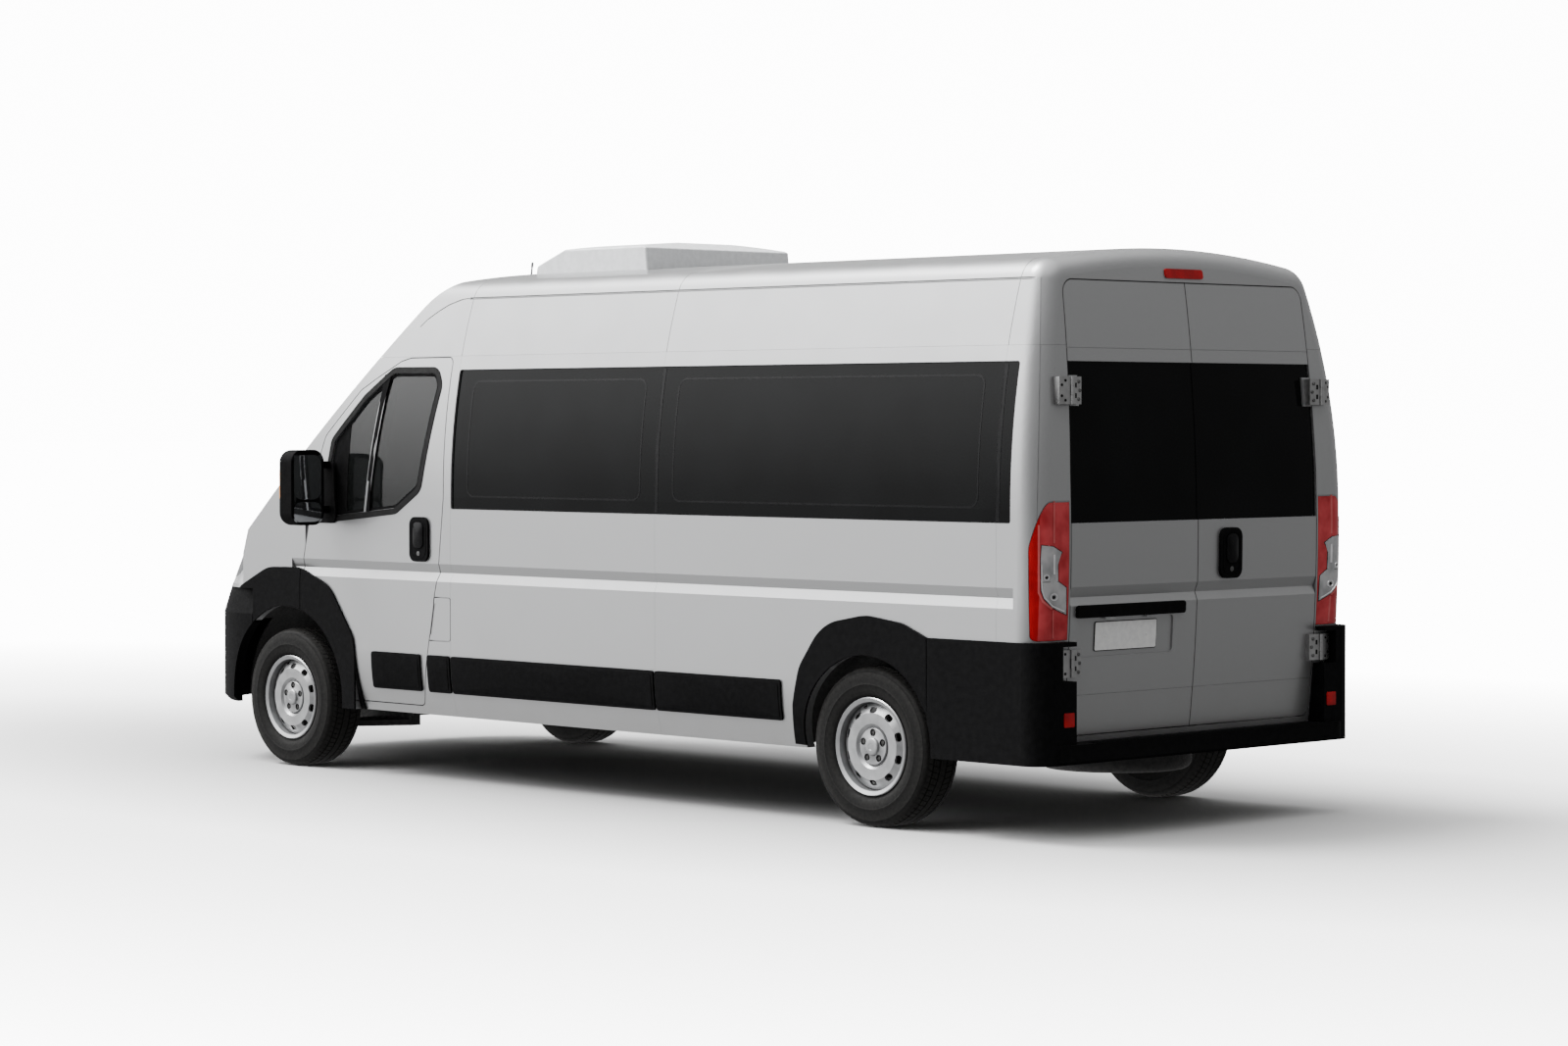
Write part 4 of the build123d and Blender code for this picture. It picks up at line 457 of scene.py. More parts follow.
def spaced(line, pitch=0.025, closed=True):
    """Adds points along the long edges of an outline, or of an open line."""
    line = [Vector(p) for p in line]
    points = []
    for p, q in zip(line, line[1:] + line[:1] if closed else line[1:]):
        parts = max(1, round((q - p).length / pitch))
        points += [p.lerp(q, k / parts) for k in range(parts)]
    return points if closed else points + line[-1:]


def ribbon(line, width, pitch):
    """Pairs of points on either side of an open line."""
    points = spaced(line, pitch, closed=False)
    pairs = []
    for i, p in enumerate(points):
        along = heading(points, i)
        side = Vector((-along.y, along.x)) * width / 2
        pairs.append((p + side, p - side))
    return pairs


def inset(outline, amount):
    """The outline moved inwards."""
    area = sum(p.x * q.y - q.x * p.y for p, q in zip(outline, outline[1:] + outline[:1]))
    side = 1 if area > 0 else -1
    moved = []
    for i, p in enumerate(outline):
        first = (p - outline[i - 1]).normalized()
        second = (outline[(i + 1) % len(outline)] - p).normalized()
        both = first + second
        normal = Vector((-both.y, both.x)).normalized() * side
        moved.append(p + normal * amount / max(0.5, math.sqrt((1 + first.dot(second)) / 2)))
    return moved


# directions of sight, each with the axes that an outline's two numbers run along
FROM_REAR, FROM_FRONT = (X, Y, Z), (-X, Y, Z)
FROM_LEFT, FROM_RIGHT = (-Y, X, Z), (Y, X, Z)
FROM_ABOVE = (-Z, X, Y)
REAR_LEFT = ((X - Y).normalized(), (X + Y).normalized(), Z)
REAR_RIGHT = ((X + Y).normalized(), (X - Y).normalized(), Z)
FAR = 8                              # rays start this far from the middle
SINK = -0.0003                       # thin trims reach this far into what carries them
WALL_MIN_Y = 0.8                     # the walls' inner faces lie outside this
trees = {}


def reach(node, start, direction):
    """How far a ray travels before it meets a CAD node, or None."""
    if node not in trees:
        mesh = NODES[node].data
        trees[node] = BVHTree.FromPolygons([v.co for v in mesh.vertices],
                                           [f.vertices for f in mesh.polygons])
    hit = trees[node].ray_cast(start, direction)[0]
    return None if hit is None else (hit - start).length


def touch(node, sight, points, lift=0.0):
    """Where the points, seen along a direction, meet a CAD node, lifted off it towards the eye."""
    direction, across, up = sight
    found = [reach(node, across * p[0] + up * p[1] - direction * FAR, direction) for p in points]
    last = next(depth for depth in found if depth is not None)
    placed = []
    for p, depth in zip(points, found):
        last = last if depth is None else depth
        placed.append(across * p[0] + up * p[1] + direction * (last - FAR - lift))
    return placed


def inner_strip(shape, nodes, sign, line, width, thickness):
    """A strip along an open line of (x, z) points on the inside of the wall that the nodes make."""
    depth = None
    sections = []
    for pair in ribbon(line, width, 0.03):
        section = []
        for q in pair:
            hits = [reach(node, Vector((q.x, 0, q.y)), Y * sign) for node in nodes]
            hits = [hit for hit in hits if hit is not None and hit > WALL_MIN_Y]
            depth = min(hits) if hits else depth
            section += [Vector((q.x, sign * (depth - gap), q.y))
                        for gap in (0.001, 0.001 + thickness)]
        sections.append([section[0], section[1], section[3], section[2]])
    return shape.layers(sections)


def sides():
    """Left and right, with the sign of y, the name and the direction of sight."""
    return (1, "left", FROM_LEFT), (-1, "right", FROM_RIGHT)


# ---------------------------------------------------------------- wheels
WHEELS = {"front_left": (2.051, 0.905), "front_right": (2.051, -0.905),
          "rear_left": (-1.984, 0.895), "rear_right": (-1.984, -0.895)}
HUB_Z = 0.341
PITCHES = 78                         # tread blocks round each rib


def polar(centre, radius, angle, along=0.0):
    """A point at a radius and angle about an axle."""
    return Vector(centre) + Vector((radius * math.cos(angle), along, radius * math.sin(angle)))


def tyre(name, centre, out):
    """A road tyre: carcass with moulded rings, and five ribs of tread blocks round it."""
    half = [(0.087, 0.1975), (0.0885, 0.212), (0.0925, 0.2165), (0.0985, 0.224), (0.1035, 0.240),
            (0.1062, 0.258), (0.1068, 0.2615), (0.1073, 0.2620), (0.1073, 0.2655), (0.1068, 0.2670),
            (0.1060, 0.286), (0.1042, 0.300), (0.1018, 0.3125), (0.1010, 0.3128), (0.0990, 0.3200),
            (0.0945, 0.3275), (0.0860, 0.3325), (0.0700, 0.3340)]
    inner = [(0.072, 0.199), (0.080, 0.222), (0.0905, 0.262), (0.084, 0.315), (0.05, 0.322)]
    outline = [(-a, r) for a, r in half] + [(a, r) for a, r in half[::-1]]
    outline += [(a, r) for a, r in inner] + [(-a, r) for a, r in inner[::-1]]
    made = Shape().lathe([(a * out, r) for a, r in outline], centre, 128)
    ribs = [(-0.0935, -0.0640, 0.3285, 0.3395), (-0.0560, -0.0235, 0.3405, 0.3408),
            (-0.0155, 0.0155, 0.3408, 0.3408), (0.0235, 0.0560, 0.3408, 0.3405),
            (0.0640, 0.0935, 0.3395, 0.3285)]
    for row, (low, high, low_r, high_r) in enumerate(ribs):
        for k in range(PITCHES):
            start = 2 * math.pi * (k + 0.5 * (row % 2)) / PITCHES
            wide = 2 * math.pi / PITCHES * (0.97 if row == 2 else 0.86)
            lean = 0.012 * (1 if row < 2 else -1 if row > 2 else 0)
            corners = []
            for a, r, shift in ((low, low_r, -lean), (high, high_r, lean)):
                for part in (0, wide / 2, wide):
                    corners += [polar(centre, radius, start + part + shift, a * out)
                                for radius in (0.3255, r)]
            faces = [(1, 3, 9, 7), (3, 5, 11, 9), (0, 1, 3, 2), (2, 3, 5, 4), (6, 8, 9, 7),
                     (8, 10, 11, 9), (0, 6, 7, 1), (4, 5, 11, 10), (0, 2, 8, 6), (2, 4, 10, 8)]
            made.add(corners, faces)
    return made.place(f"{name}_road_tyre", TYRE, f"{name}_wheel", "tyre", node=f"{name}_tyre")


def cut(piece, cutter):
    """Takes a closed form out of a piece and removes the form."""
    work = piece.modifiers.new("cut", "BOOLEAN")
    work.object = cutter
    work.operation = "DIFFERENCE"
    work.solver = "EXACT"
    result = piece.evaluated_get(bpy.context.evaluated_depsgraph_get())
    made = bpy.data.meshes.new_from_object(result)
    piece.modifiers.clear()
    piece.data = made
    made.set_sharp_from_angle(angle=SHARP)
    bpy.data.objects.remove(cutter)


def wheel_fittings(name, centre, out):
    """Pressed centre cover with five bolt wells, the bolts in them, near black as painted shade for
    the dark wells, and the valve.
    """
    body = f"{name}_wheel"
    bolts, wells, valve = Shape(), Shape(), Shape()
    for k in range(5):
        angle = math.radians(90 + 72 * k)
        at = polar(centre, 0.059, angle)
        wells.disc([(0.0600 * out, 0.0158), (0.0790 * out, 0.0158), (0.0825 * out, 0.0172)], at,
                   steps=28)
        bolts.disc([(0.0706 * out, 0.001), (0.0706 * out, 0.0118), (0.0716 * out, 0.0118),
                    (0.0726 * out, 0.0100), (0.0726 * out, 0.001)], at, steps=24)
        bolts.layers([[polar(at, radius, angle + math.pi * j / 3, along * out) for j in range(6)]
                      for along, radius in ((0.0722, 0.0095), (0.0770, 0.0095), (0.0785, 0.00798))])
    cover = Shape().disc([(a * out, r) for a, r in (
        (0.0912, 0.001), (0.0905, 0.0345), (0.0790, 0.0372), (0.0782, 0.0745), (0.0706, 0.0762),
        (0.0706, 0.0788), (0.0778, 0.0778), (0.0798, 0.0758), (0.0804, 0.0420), (0.0815, 0.0398),
        (0.0895, 0.0372), (0.0922, 0.0345), (0.0930, 0.0300), (0.0930, 0.0160), (0.0922, 0.0150),
        (0.0922, 0.001))], centre, steps=72)
    cover = cover.place(f"{name}_wheel_cover", WHEEL_SILVER, body, "wheel_silver")
    cut(cover, wells.place(f"{name}_wells", WHEEL_SILVER, body, slot=None))
    # painted shade: the bolts get the near black chassis finish so the wells look dark inside
    bolts.place(f"{name}_wheel_bolts_in_painted_shade", CHASSIS, body, "cast_metal")
    angle = math.radians(72)
    root, tip = polar(centre, 0.183, angle, 0.046 * out), polar(centre, 0.168, angle, 0.080 * out)
    valve.disc([(0, 0.0005), (0, 0.0065), (0.008, 0.0055), (0.010, 0.0035), (0.020, 0.0035),
                (0.021, 0.0045), (0.033, 0.0045), (0.034, 0.0035), (0.034, 0.0005)],
               root, tip - root, 16)
    valve.place(f"{name}_tyre_valve", WINDOW_RUBBER, body, "tyre")


for wheel, (x, y) in WHEELS.items():
    outward = 1 if y > 0 else -1
    tyre(wheel, (x, y, HUB_Z), outward)
    wheel_fittings(wheel, (x, y, HUB_Z), outward)


# ---------------------------------------------------------------- glass edges
DOOR_WINDOW = [(0.943, 1.937, 0.045), (0.911, 1.877, 0.045), (1.017, 1.395, 0.060),
               (1.191, 1.293, 0.060), (1.743, 1.242, 0.018), (1.670, 1.609, 0.050),
               (1.450, 1.813, 0), (1.259, 1.939, 0.070)]
BAR_TOP_Z, BAR_SLOPE = 1.990, 0.1633     # the bar leans forward by its slope below this height
PANE_LOW_Z, PANE_HIGH_Z = 1.302, 1.944


def cab_windows(name, sight):
    """Rubber surround of a cab door's window, its glass run, quarter bar and corner plate."""
    door = f"front_{name}_door"
    outline = rounded(DOOR_WINDOW, 5)
    seal, run, bar = Shape(door, sight), Shape(f"{door}_glass", sight), Shape(door, sight)
    seal.band(inset(outline, -0.030), 0.0295, 0.004, -0.001)
    seal.place(f"{door}_window_surround", WINDOW_RUBBER, door, bevel=0.0012)
    run.band(inset(outline, 0.0025), 0.012, 0.0035, -0.0005)
    run.patch(rounded([(1.574, 1.262, 0), (1.736, 1.248, 0.012), (1.664, 1.600, 0.02),
                       (1.560, 1.700, 0)]), 0.003, -0.0005)
    run.place(f"{door}_glass_run", BLACK_PLASTIC, door)
    low, high = 1.273, 1.934
    rear, front = (1.271 + (BAR_TOP_Z - z) * BAR_SLOPE for z in (low, high))
    bar.patch(rounded([(rear, low, 0), (rear + 0.051, low, 0), (front + 0.051, high, 0),
                       (front, high, 0)]), 0.003, -0.001)
    bar.place(f"{door}_quarter_bar", BLACK_PLASTIC, door, bevel=0.001)


def side_glass_edges(name, sight):
    """Seams between the side's panes and the slim frames of the opening lights."""
    trim = Shape("side_windows", sight)
    for x in (-0.666, -2.727):
        trim.patch(oblong(x - 0.010, x + 0.010, PANE_LOW_Z, PANE_HIGH_Z, 0), 0.0015, SINK)
    for low, high in ((-2.62, -0.77), (-0.56, 0.66)):
        if high < 0 or name == "left":
            outline = oblong(low, high, PANE_LOW_Z + 0.050, PANE_HIGH_Z - 0.044, 0.05)
            trim.band(outline, 0.008, 0.0012, SINK)
    trim.place(f"{name}_side_glass_lines", GLOSS_BLACK)


for sign, side, sight in sides():
    cab_windows(side, sight)
    side_glass_edges(side, sight)


# ---------------------------------------------------------------- doors
def pull_handle(name, node, sight, a, b, body, tall=0.170, wide=0.074):
    """A hinged lever in the oval of a door handle, with a finger space and a key cylinder below."""
    lever, rim, key = (Shape(node, sight) for part in range(3))
    lever.patch(pad(a, b + 0.020, wide, tall * 0.72, 0.026), 0.006, -0.001, rings=5, dome=0.006)
    lever.place(f"{name}_lever", GLOSS_BLACK, body)
    rim.band(pad(a, b, wide + 0.040, tall + 0.014, 0.042), 0.006, 0.002, -0.0005)
    rim.place(f"{name}_rim", BLACK_PLASTIC, body, bevel=0.0008)
    key.patch(ring(a, b - tall * 0.40, 0.011, 20), 0.003, -0.001, rings=3, dome=0.001)
    key.place(f"{name}_key_cylinder", CAST, body, "cast_metal")


for sign, side, sight in sides():
    pull_handle(f"{side}_cab_handle", f"front_{side}_door_trim", sight, 0.996, 1.148,
                f"front_{side}_door")
pull_handle("rear_handle", "rear_right_door_fittings", FROM_REAR, -0.206, 1.150, "rear_right_door")
pull_handle("sliding_door_handle", "sliding_door", FROM_RIGHT, 0.640, 1.148, "root")
HINGE_Y, HINGE_HEIGHTS = 0.812, (0.726, 1.832)


def hinge_leaf(p, n):
    return abs(p.y) > 0.73 and min(abs(p.z - z) for z in HINGE_HEIGHTS) < 0.075


for sign, side, sight in sides():
    tint(f"rear_{side}_door_fittings", BARE_STEEL, hinge_leaf)
coat("rear_hinge_brackets", BARE_STEEL)


def hinge_bolts():
    """Cap screws on the leaves of the rear doors' hinges, and black patches of painted shade where
    their plates have openings.
    """
    slot_shades = Shape("rear_hinge_brackets", FROM_REAR)
    for sign, side, sight in sides():
        fittings = f"rear_{side}_door_fittings"
        heads, opening_shades = Shape(), Shape(fittings, FROM_REAR)
        for z in HINGE_HEIGHTS:
            for dz in (-0.021, 0.021):
                # painted shade: black patches stand for the dark inside of the openings in the
                # hinge leaves
                opening_shades.patch(pad(sign * 0.786, z + dz, 0.011, 0.020, 0.002), 0.0008, SINK)
            for dy, dz in ((-0.046, 0.036), (-0.046, -0.036), (-0.054, 0.0)):
                base = touch(fittings, FROM_REAR, [(sign * (HINGE_Y + dy), z + dz)])[0]
                heads.layers([[base - X * lift + out * radius for out in spokes(Y, Z, 6)]
                              for lift, radius in ((-0.001, 0.0085), (0.0025, 0.0085),
                                                   (0.004, 0.0065))])
            for dy, dz in ((0.036, 0.040), (0.036, -0.040), (0.054, 0.022), (0.054, -0.022)):
                # painted shade: black discs stand for the dark inside of the slots in the hinge
                # brackets
                slot_shades.patch(ring(sign * (HINGE_Y + dy), z + dz, 0.006, 16), 0.0008, SINK)
        heads.place(f"rear_{side}_hinge_screws", CAST, f"rear_{side}_door", "cast_metal")
        opening_shades.place(f"rear_{side}_hinge_opening_shades", GLOSS_BLACK, f"rear_{side}_door", "steel")
    slot_shades.place("rear_hinge_slot_shades", GLOSS_BLACK, "root", "steel")


hinge_bolts()


def plate():
    """Blank number plate with a dark edge, its two screws and the lamps in the bar above."""
    door = "rear_left_door"
    edge, face, screws, lamps = (Shape(door, FROM_REAR) for part in range(4))
    y, z = 0.445, 0.828
    outline = pad(y, z, 0.390, 0.122, 0.010)
    edge.patch(outline, 0.003, 0.0002)
    edge.place("rear_plate_backing", GLOSS_BLACK, door)
    face.patch(inset(outline, 0.0035), 0.0012, 0.0031)
    face.place("rear_plate", PLATE_WHITE, door)
    for side in (-1, 1):
        screws.patch(ring(y + side * 0.130, z, 0.006, 16), 0.0018, 0.0042, rings=3, dome=0.001)
    screws.place("rear_plate_screws", PLATE_WHITE, door, "steel")
    for p in touch("rear_left_door_fittings", FROM_REAR, [(0.30, 0.930), (0.56, 0.930)]):
        lamps.box((p.x + 0.004, p.y - 0.034, 0.8985), (p.x + 0.018, p.y + 0.034, 0.9075))
    lamps.place("plate_lamps", CLEAR_LENS, door, "lamp_clear", bevel=0.0015)


plate()


# ---------------------------------------------------------------- lamps
LAMP_INSERT = [(-1.388, 1.208), (-1.437, 1.202), (-1.473, 1.178), (-1.456, 1.151), (-1.457, 1.061),
               (-1.492, 1.034), (-1.492, 0.926), (-1.469, 0.937), (-1.431, 0.957), (-1.397, 0.995),
               (-1.386, 1.027), (-1.384, 1.153)]
LIGHT_GUIDE = [(-1.376, 1.290), (-1.376, 1.018), (-1.392, 0.983), (-1.432, 0.950)]


def tail_lamp(side, sight):
    """A tail lamp's clear chambers with their bulbs, light guide, ridge and black outline."""
    insert, guide, lines, bright = (Shape("rear_lamps", sight) for part in range(4))
    outline = [Vector(p) for p in LAMP_INSERT]
    insert.patch(outline, 0.0022, SINK, rings=4, dome=0.001)
    for a, z, radius in ((-1.409, 1.078, 0.012), (-1.440, 0.998, 0.015)):
        lines.patch(ring(a, z, radius * 0.45, 16), 0.003, 0.001, rings=3, dome=0.002)
        bright.band(ring(a, z, radius, 24), 0.003, 0.002, 0.002)
    bright.strip([(-1.441, 1.170), (-1.441, 1.090)], 0.007, 0.002, 0.002)
    bright.strip([(-1.388, 1.130), (-1.390, 1.030), (-1.401, 0.998), (-1.434, 0.962),
                  (-1.484, 0.938)], 0.004, 0.002, 0.0018)
    guide.strip(LIGHT_GUIDE, 0.008, 0.0022, SINK)
    guide.strip([(-1.440, 1.385), (-1.440, 1.216)], 0.006, 0.003, SINK)
    guide.strip([(-1.436, 0.944), (-1.436, 0.832)], 0.006, 0.003, SINK)
    lines.band(inset(outline, -0.003), 0.0025, 0.0016, SINK)
    lines.strip([(-1.457, 1.060), (-1.389, 1.060)], 0.002, 0.0028)
    insert.place(f"{side}_lamp_clear_chambers", CLEAR_LENS, "root", "lamp_clear")
    guide.place(f"{side}_lamp_light_guide", PALE_RED_LENS, "root", "lamp_red")
    lines.place(f"{side}_lamp_outline", GLOSS_BLACK)
    bright.place(f"{side}_lamp_reflectors", CHROME, "root", "steel")


tint("rear_lamps", SOFT_RED_LENS, lambda p, n: n.x < -0.86 and p.z < 1.5)
tail_lamp("left", REAR_LEFT)
tail_lamp("right", REAR_RIGHT)


def reflectors():
    made = Shape("rear_bumper", FROM_REAR)
    for y in (0.855, -0.855):
        made.patch(pad(y, 0.5005, 0.062, 0.058, 0.006), 0.004, -0.001, rings=3, dome=0.0015)
    made.place("rear_reflectors", RED_LENS, "root", "lamp_red")


reflectors()


# ---------------------------------------------------------------- mirrors
def mirrors():
    """Two glasses in the back of each housing, and the repeater lamp along its outer edge."""
    for sign, side, sight in sides():
        node = f"{side}_mirror"
        tint(node, MIRROR_GLASS, lambda p, n: n.x < -0.9 and p.x < 1.660 and
             abs(abs(p.y) - 1.188) < 0.083 and
             (abs(p.z - 1.438) < 0.107 or abs(p.z - 1.269) < 0.047))
        repeater = Shape(node, sight)
        repeater.patch(pad(1.754, 1.405, 0.018, 0.140, 0.006), 0.0022, -0.001, rings=4,
                       dome=0.0006)
        repeater.place(f"{side}_mirror_repeater", AMBER_LENS, f"front_{side}_door", "lamp_clear")


mirrors()


# ---------------------------------------------------------------- trims and bumpers
MOULDING_LOW_Z, MOULDING_HIGH_Z = 0.437, 0.584
MOULDING_MARGIN = 0.012


def moulding_panels():
    """Raised inner panels with round corners along the rubbing strips."""
    for sign, side, sight in sides():
        fixed, loose = Shape("body_side_trims", sight), Shape(f"front_{side}_door_trim", sight)
        for made, spans in ((fixed, ((0.774, 0.940), (-0.660, 0.760), (-1.475, -0.672))),
                            (loose, ((0.995, 1.368),))):
            for low, high in spans:
                made.patch(oblong(low + MOULDING_MARGIN, high - MOULDING_MARGIN, MOULDING_LOW_Z,
                                  MOULDING_HIGH_Z, 0.010), 0.0025, SINK, dome=0.002)
        fixed.place(f"{side}_moulding_panels", BLACK_PLASTIC, bevel=0.0012)
        loose.place(f"{side}_door_moulding_panel", BLACK_PLASTIC, f"front_{side}_door",
                    bevel=0.0012)


def step_ribs():
    """Anti-slip ribs along the rear step."""
    made = Shape("rear_bumper", FROM_ABOVE)
    for x in (-2.990, -2.976, -2.962, -2.948):
        made.strip([(x, -0.70), (x, 0.70)], 0.005, 0.003, -0.0005)
    made.place("rear_step_ribs", BLACK_PLASTIC)


def wipers():
    """Two arms on the scuttle with their blades on the windscreen."""
    arms, blades = Shape(), Shape("windscreen", FROM_FRONT)
    for pivot, line in (((2.352, 0.600), [(0.690, 1.432), (0.030, 1.474)]),
                        ((2.372, -0.040), [(0.000, 1.424), (-0.600, 1.462)])):
        blades.strip(line, 0.009, 0.012, 0.0005)
        middle = Vector(line[0]).lerp(Vector(line[1]), 0.5)
        end = touch("windscreen", FROM_FRONT, [middle], 0.017)[0]
        base = touch("scuttle_panel", FROM_ABOVE, [pivot], -0.002)[0]
        arms.disc([(0, 0.002), (0, 0.018), (0.024, 0.015), (0.030, 0.010), (0.032, 0.002)], base, Z,
                  20)
        knuckle = base + Z * 0.030
        arms.tube([knuckle, knuckle.lerp(end, 0.3) + Z * 0.012, knuckle.lerp(end, 0.7) + Z * 0.010,
                   end, end - Z * 0.004], 0.0055, 8)
    arms.place("wiper_arms", BLACK_PLASTIC)
    blades.place("wiper_blades", WINDOW_RUBBER)


HEADLAMP_BOWL = [(0.655, 0.930, 0.03), (0.900, 0.918, 0.02), (0.955, 0.930, 0.02),
                 (0.955, 1.165, 0.03), (0.800, 1.100, 0.04), (0.672, 1.018, 0.03)]


def front_lamps():
    """Projector rings, bulbs and the light strip on the face of each headlamp."""
    bowls, rings, discs, strips = (Shape("headlamps", FROM_FRONT) for part in range(4))
    for sign in (1, -1):
        bowls.patch(rounded([(sign * y, z, r) for y, z, r in HEADLAMP_BOWL]), 0.0025, -0.0005,
                    rings=24)
        for y, z, radius in ((0.735, 0.990, 0.040), (0.820, 1.045, 0.034)):
            rings.band(ring(sign * y, z, radius, 32), 0.006, 0.005, -0.0005)
            discs.patch(ring(sign * y, z, radius - 0.007, 28), 0.004, -0.0005, rings=5, dome=0.004)
        strips.strip([(sign * 0.690, 0.925), (sign * 0.760, 0.935), (sign * 0.860, 0.965)], 0.009,
                     0.0045, -0.0005)
    bowls.place("headlamp_bowls", LAMP_BOWL, "root", "lamp_clear")
    rings.place("headlamp_rings", CHROME, "root", "steel")
    discs.place("headlamp_projectors", GLOSS_BLACK, "root", "lamp_clear")
    strips.place("headlamp_light_strips", PLATE_WHITE, "root", "lamp_clear")


def aerial():
    """Roof aerial on a rubber foot above the windscreen."""
    foot = touch("high_roof", FROM_ABOVE, [(1.425, 0)], -0.003)[0]
    rise = 2.508 - foot.z
    made = Shape()
    made.disc([(0, 0.002), (0, 0.020), (0.008, 0.018), (0.020, 0.009), (0.028, 0.006),
               (rise * 0.8, 0.0048), (rise - 0.028, 0.0045), (rise - 0.024, 0.0062),
               (rise - 0.004, 0.0062), (rise, 0.001)], foot, (-0.156, 0, 1), 20)
    made.place("roof_aerial", BLACK_PLASTIC)


CAB_DOOR_SEAL = [(1.002, 0.362), (0.983, 0.428), (0.935, 0.665), (0.896, 0.874), (0.865, 0.991),
                 (0.824, 1.348), (0.830, 1.980), (0.860, 2.006), (1.140, 2.009), (1.218, 1.994),
                 (1.390, 1.914), (1.500, 1.858), (1.745, 1.637), (1.832, 1.407), (1.871, 1.195),
                 (1.921, 0.995)]
SLIDING_DOOR_SEAL = [(-0.661, 0.362), (-0.661, 1.98), (-0.635, 2.006), (0.740, 2.006),
                     (0.765, 1.98), (0.765, 0.362)]


def aperture_seals():
    """Rubber seals round the door openings and tape on the panel seams, inside the walls."""
    seams = [[(x, 0.40), (x, 2.06)] for x in (0.770, -0.666)]
    for sign, side, sight in sides():
        walls = [f"front_{side}_door", "cab_frame", f"{side}_side_panels", "side_windows"]
        lines = [CAB_DOOR_SEAL] + seams
        if side == "right":
            walls.append("sliding_door")
            lines = [CAB_DOOR_SEAL, SLIDING_DOOR_SEAL]
        made = Shape()
        for line in lines:
            inner_strip(made, walls, sign, line, 0.030, 0.006)
        made.place(f"{side}_aperture_seals", WINDOW_RUBBER)


moulding_panels()
step_ribs()
wipers()
front_lamps()
aerial()
aperture_seals()


# ---------------------------------------------------------------- cabin
def on_quarter_bar(p, n):
    middle = 1.2965 + (BAR_TOP_Z - p.z) * BAR_SLOPE
    return abs(n.x) > 0.7 and 1.24 < p.z < 1.96 and abs(p.x - middle) < 0.03


tint("high_roof", LINING, lambda p, n: n.z < -0.3)
tint("cab_frame", LINING, lambda p, n: n.z < -0.3 and p.z > 1.5)
tint("sliding_door", LINING, lambda p, n: n.y > 0.4)
for sign, side, sight in sides():
    tint(f"front_{side}_door", BLACK_PLASTIC, on_quarter_bar)
    tint(f"front_{side}_door", CABIN_PLASTIC, lambda p, n: n.y * sign < -0.4)
    tint(f"{side}_side_panels", LINING, lambda p, n: n.y * sign < -0.4 and p.y * sign > 0)
    tint(f"rear_{side}_door", LINING, lambda p, n: n.x > 0.4)
tint("underbody", FLOOR_VINYL, lambda p, n: n.z > 0.9 and p.z > 0.57)


PIPING = 0.0028                      # radius of the cord in the seams


def pillow(pads, piping, centre, along, normal, width, length, up, down, grooves=(), crossing=(),
           columns=26, rows=22):
    """A crowned pad sewn from two panels, with channels and a corded seam round it."""
    centre, along, normal = Vector(centre), Vector(along).normalized(), Vector(normal).normalized()

    def place(u, v, side):
        rise = (1 - abs(u) ** 6) ** 0.42 * (1 - abs(v) ** 6) ** 0.42
        crown = 1 - 0.10 * (u * u + v * v)
        for at in grooves:
            crown -= 0.20 * math.exp(-((abs(u) - at) / 0.035) ** 2)
        for at in crossing:
            crown -= 0.17 * math.exp(-((v - at) / 0.035) ** 2) * (1 if abs(u) < 0.66 else 0.3)
        a = width / 2 * u * (1 - 0.02 * (1 - v * v)) * math.sqrt(1 - 0.16 * v ** 8)
        b = length / 2 * v * (1 - 0.02 * (1 - u * u)) * math.sqrt(1 - 0.16 * u ** 8)
        height = (up if side > 0 else -down) * rise * (crown if side > 0 else 1)
        return centre + Y * a + along * b + normal * height

    def share(i, count):
        return math.sin(math.pi / 2 * (2 * i / count - 1)) * 0.35 + (2 * i / count - 1) * 0.65

    index, verts, faces = {}, [], []

    def corner(i, j, side):
        """The number of a grid point; the two panels share their border."""
        key = (i, j, 0 if i in (0, columns) or j in (0, rows) else side)
        if key not in index:
            index[key] = len(verts)
            verts.append(place(share(i, columns), share(j, rows), side))
        return index[key]

    for side in (1, -1):
        for i in range(columns + 1):
            for j in range(rows + 1):
                corner(i, j, side)
        for i in range(columns):
            for j in range(rows):
                loop = [corner(i + x, j + y, side) for x, y in ((0, 0), (1, 0), (1, 1), (0, 1))]
                faces.append(tuple(loop[::side]))
    pads.add(verts, faces)
    if piping is not None:
        border = [(i, 0) for i in range(columns)] + [(columns, j) for j in range(rows)]
        border += [(i, rows) for i in range(columns, 0, -1)] + [(0, j) for j in range(rows, 0, -1)]
        loop = [verts[index[(i, j, 0)]] for i, j in border]
        sections = []
        for k, p in enumerate(loop):
            ahead = (loop[(k + 1) % len(loop)] - loop[k - 1]).normalized()
            sections.append([p + out * PIPING for out in spokes(ahead.cross(normal).normalized(),
                                                                normal, 6)])
        piping.layers(sections, closed=True)


